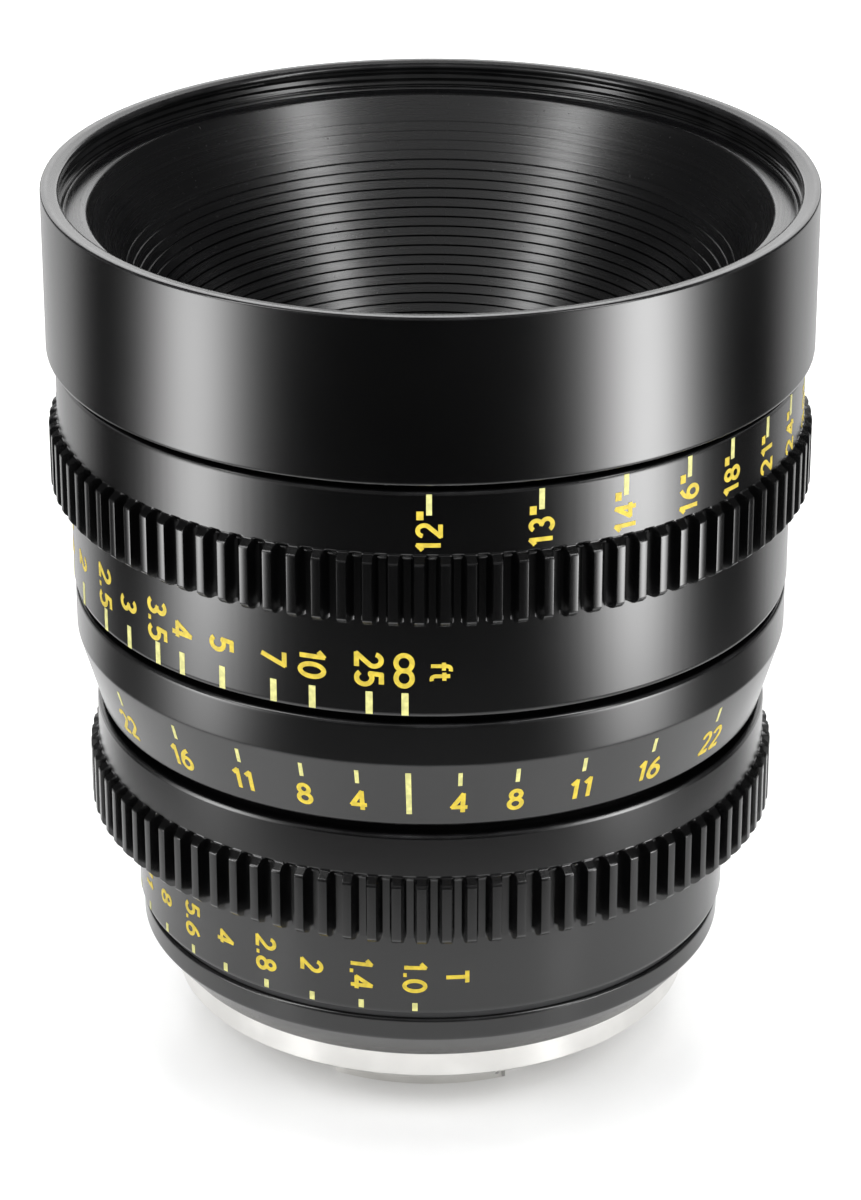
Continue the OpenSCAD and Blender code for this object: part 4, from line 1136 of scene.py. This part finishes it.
class LENS_OT_inside(bpy.types.Operator):
    """Finishes of the inner parts, which keep their solid shapes"""

    bl_idname = "lens.inside"
    bl_label = "Inner parts"

    def execute(self, context):
        groups = {
            "turned_steel": "guide_sleeve barrel_screws front_screws iris_drive_pin focus_drive_pin",
            "turned_brass": "focus_cam guide_key",
            "matt_black_paint": "front_group_cell front_retainer rear_retainer front_spacer inner_spacer"
            " spacer_a spacer_b spacer_c",
            "graphite_washer": "iris_washer_rear iris_washer_front focus_washer_rear focus_washer_front",
            "dark_grey_coat": "lens_cell iris_plate iris_cam_ring",
            "blackened_blade": " ".join(f"iris_blade_{i:02d}" for i in range(1, 12)),
        }
        for coat, names in groups.items():
            for name in names.split():
                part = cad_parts[name]
                if not part.material_slots:
                    part.data.materials.append(finish(coat))
                for place in part.material_slots:
                    place.material = finish(coat)
        return {"FINISHED"}


def area_light(name, spot, aim, wide, high, power, mirrored=True):
    """Soft rectangular light at a spot, turned to its aim. One that isn't mirrored only lights matt surfaces."""
    lamp = bpy.data.lights.new(name, "AREA")
    lamp.shape, lamp.size, lamp.size_y, lamp.energy = "RECTANGLE", wide, high, power
    light = bpy.data.objects.new(name, lamp)
    bpy.context.scene.collection.objects.link(light)
    x, y, z = np.subtract(aim, spot)
    light.location = spot
    light.rotation_euler = (math.atan2(math.hypot(x, y), -z), 0, math.atan2(y, x) - math.pi / 2)
    light.visible_glossy = light.visible_transmission = mirrored


def disc(name, inner, outer, height, rings=12, columns=160):
    """Flat ring between two radii, its rows closer together near the middle."""
    r = inner + (outer - inner) * np.linspace(0, 1, rings) ** 2
    outline = np.stack([r, np.full(rings, height)], -1)[::-1]
    return grid_mesh(name, revolve(outline, columns), wrap_first=False)


class LENS_OT_stage(bpy.types.Operator):
    """Pale table, studio lights and the camera"""

    bl_idname = "lens.stage"
    bl_label = "Stage"

    def execute(self, context):
        scene, p = context.scene, context.scene.lens_stage

        def around(degrees, far, high):
            """Spot at a distance from the axis, turned from the camera's side by an angle."""
            a = math.radians(degrees) + p.turn
            return (far * math.sin(a), -far * math.cos(a), high)

        view = bpy.data.cameras.new("camera")
        view.lens, view.sensor_width, view.sensor_fit = p.focal, 36.0, "AUTO"
        view.clip_start, view.clip_end = 0.01, 50
        camera = bpy.data.objects.new("camera", view)
        scene.collection.objects.link(camera)
        camera.location = around(0, p.distance, p.height)
        camera.rotation_euler = (math.pi / 2 - p.pitch, 0, p.turn)
        scene.camera = camera
        scene.view_settings.view_transform = "Standard"

        flat = np.stack(np.meshgrid([-4.0, 4.0], [-4.0, 4.0], [FLOOR_Z - 0.02 * MM], indexing="xy"), -1)
        table = grid_mesh("table", flat.reshape(2, 2, 3), False, False)
        table.data.materials.append(finish("table_white"))
        glow = disc("side_glow", 0.06, 1.4, FLOOR_Z + 0.3 * MM)
        glow.data.materials.append(finish("side_glow"))
        glow.visible_camera = glow.visible_diffuse = glow.visible_shadow = glow.visible_transmission = False

        middle = (0, 0, 0.06)
        area_light("top_softbox", (0, 0.15, 0.9), middle, 0.9, 0.7, p.top_power, False)
        area_light("left_strip", around(-60, 0.6, 0.45), middle, 0.14, 0.7, p.strip_power)
        area_light("right_strip", around(53, 0.6, 0.45), middle, 0.14, 0.7, p.strip_power)
        area_light("front_fill", around(0, 0.9, 0.3), (0, -0.05, 0), 0.8, 0.3, p.fill_power, False)
        area_light("front_card", around(0, 0.42, 0.66), (0, 0, 0.08), 1.1, 0.3, p.card_power)
        area_light("back_softbox", around(180, 1.1, 0.45), middle, 1.2, 0.4, p.top_power * 0.5)

        world = scene.world or bpy.data.worlds.new("studio")
        scene.world = world
        world.use_nodes = True
        board = Board(world.node_tree)
        seen, spread = (board.add("ShaderNodeLightPath", out=f"Is {kind} Ray") for kind in ("Camera", "Diffuse"))
        mirrored, matt, backdrop = 0.05, 0.26, 1.06  # strength for reflections, for matt surfaces and for the camera
        strength = mirrored + (matt - mirrored) * spread + (backdrop - mirrored) * seen
        sky = board.add("ShaderNodeBackground", None, {"Color": WHITE, "Strength": strength})
        board.add("ShaderNodeOutputWorld", None, {"Surface": sky})
        return {"FINISHED"}


class LENS_PT_build(bpy.types.Panel):
    """Lists the pieces and their sizes"""

    bl_label = "Cinema prime lens"
    bl_idname = "LENS_PT_build"
    bl_space_type = "VIEW_3D"
    bl_region_type = "UI"
    bl_category = "Lens"

    def draw(self, context):
        for operator in OPERATORS:
            self.layout.operator(operator.bl_idname)
        for holder, name in HOLDERS.items():
            box = self.layout.box()
            for entry in holder.__annotations__:
                box.prop(getattr(context.scene, name), entry)


OPERATORS = (
    LENS_OT_stage,
    LENS_OT_front_barrel,
    LENS_OT_funnel,
    LENS_OT_focus_ring,
    LENS_OT_fixed_barrel,
    LENS_OT_iris_ring,
    LENS_OT_rear_barrel,
    LENS_OT_mount,
    LENS_OT_focus_scale,
    LENS_OT_iris_scale,
    LENS_OT_depth_scale,
    LENS_OT_optics,
    LENS_OT_inside,
)
HOLDERS = {
    LensSizes: "lens_sizes",
    LensScales: "lens_scales",
    LensFinish: "lens_finish",
    LensStage: "lens_stage",
}


def register():
    for kind in (*HOLDERS, *OPERATORS, LENS_PT_build):
        bpy.utils.register_class(kind)
    for kind, name in HOLDERS.items():
        setattr(bpy.types.Scene, name, bpy.props.PointerProperty(type=kind))


def unregister():
    for name in HOLDERS.values():
        delattr(bpy.types.Scene, name)
    for kind in (LENS_PT_build, *reversed(OPERATORS), *reversed(HOLDERS)):
        bpy.utils.unregister_class(kind)


def main():
    register()
    for operator in OPERATORS:
        group, name = operator.bl_idname.split(".")
        getattr(getattr(bpy.ops, group), name)()


if __name__ == "__main__":
    main()
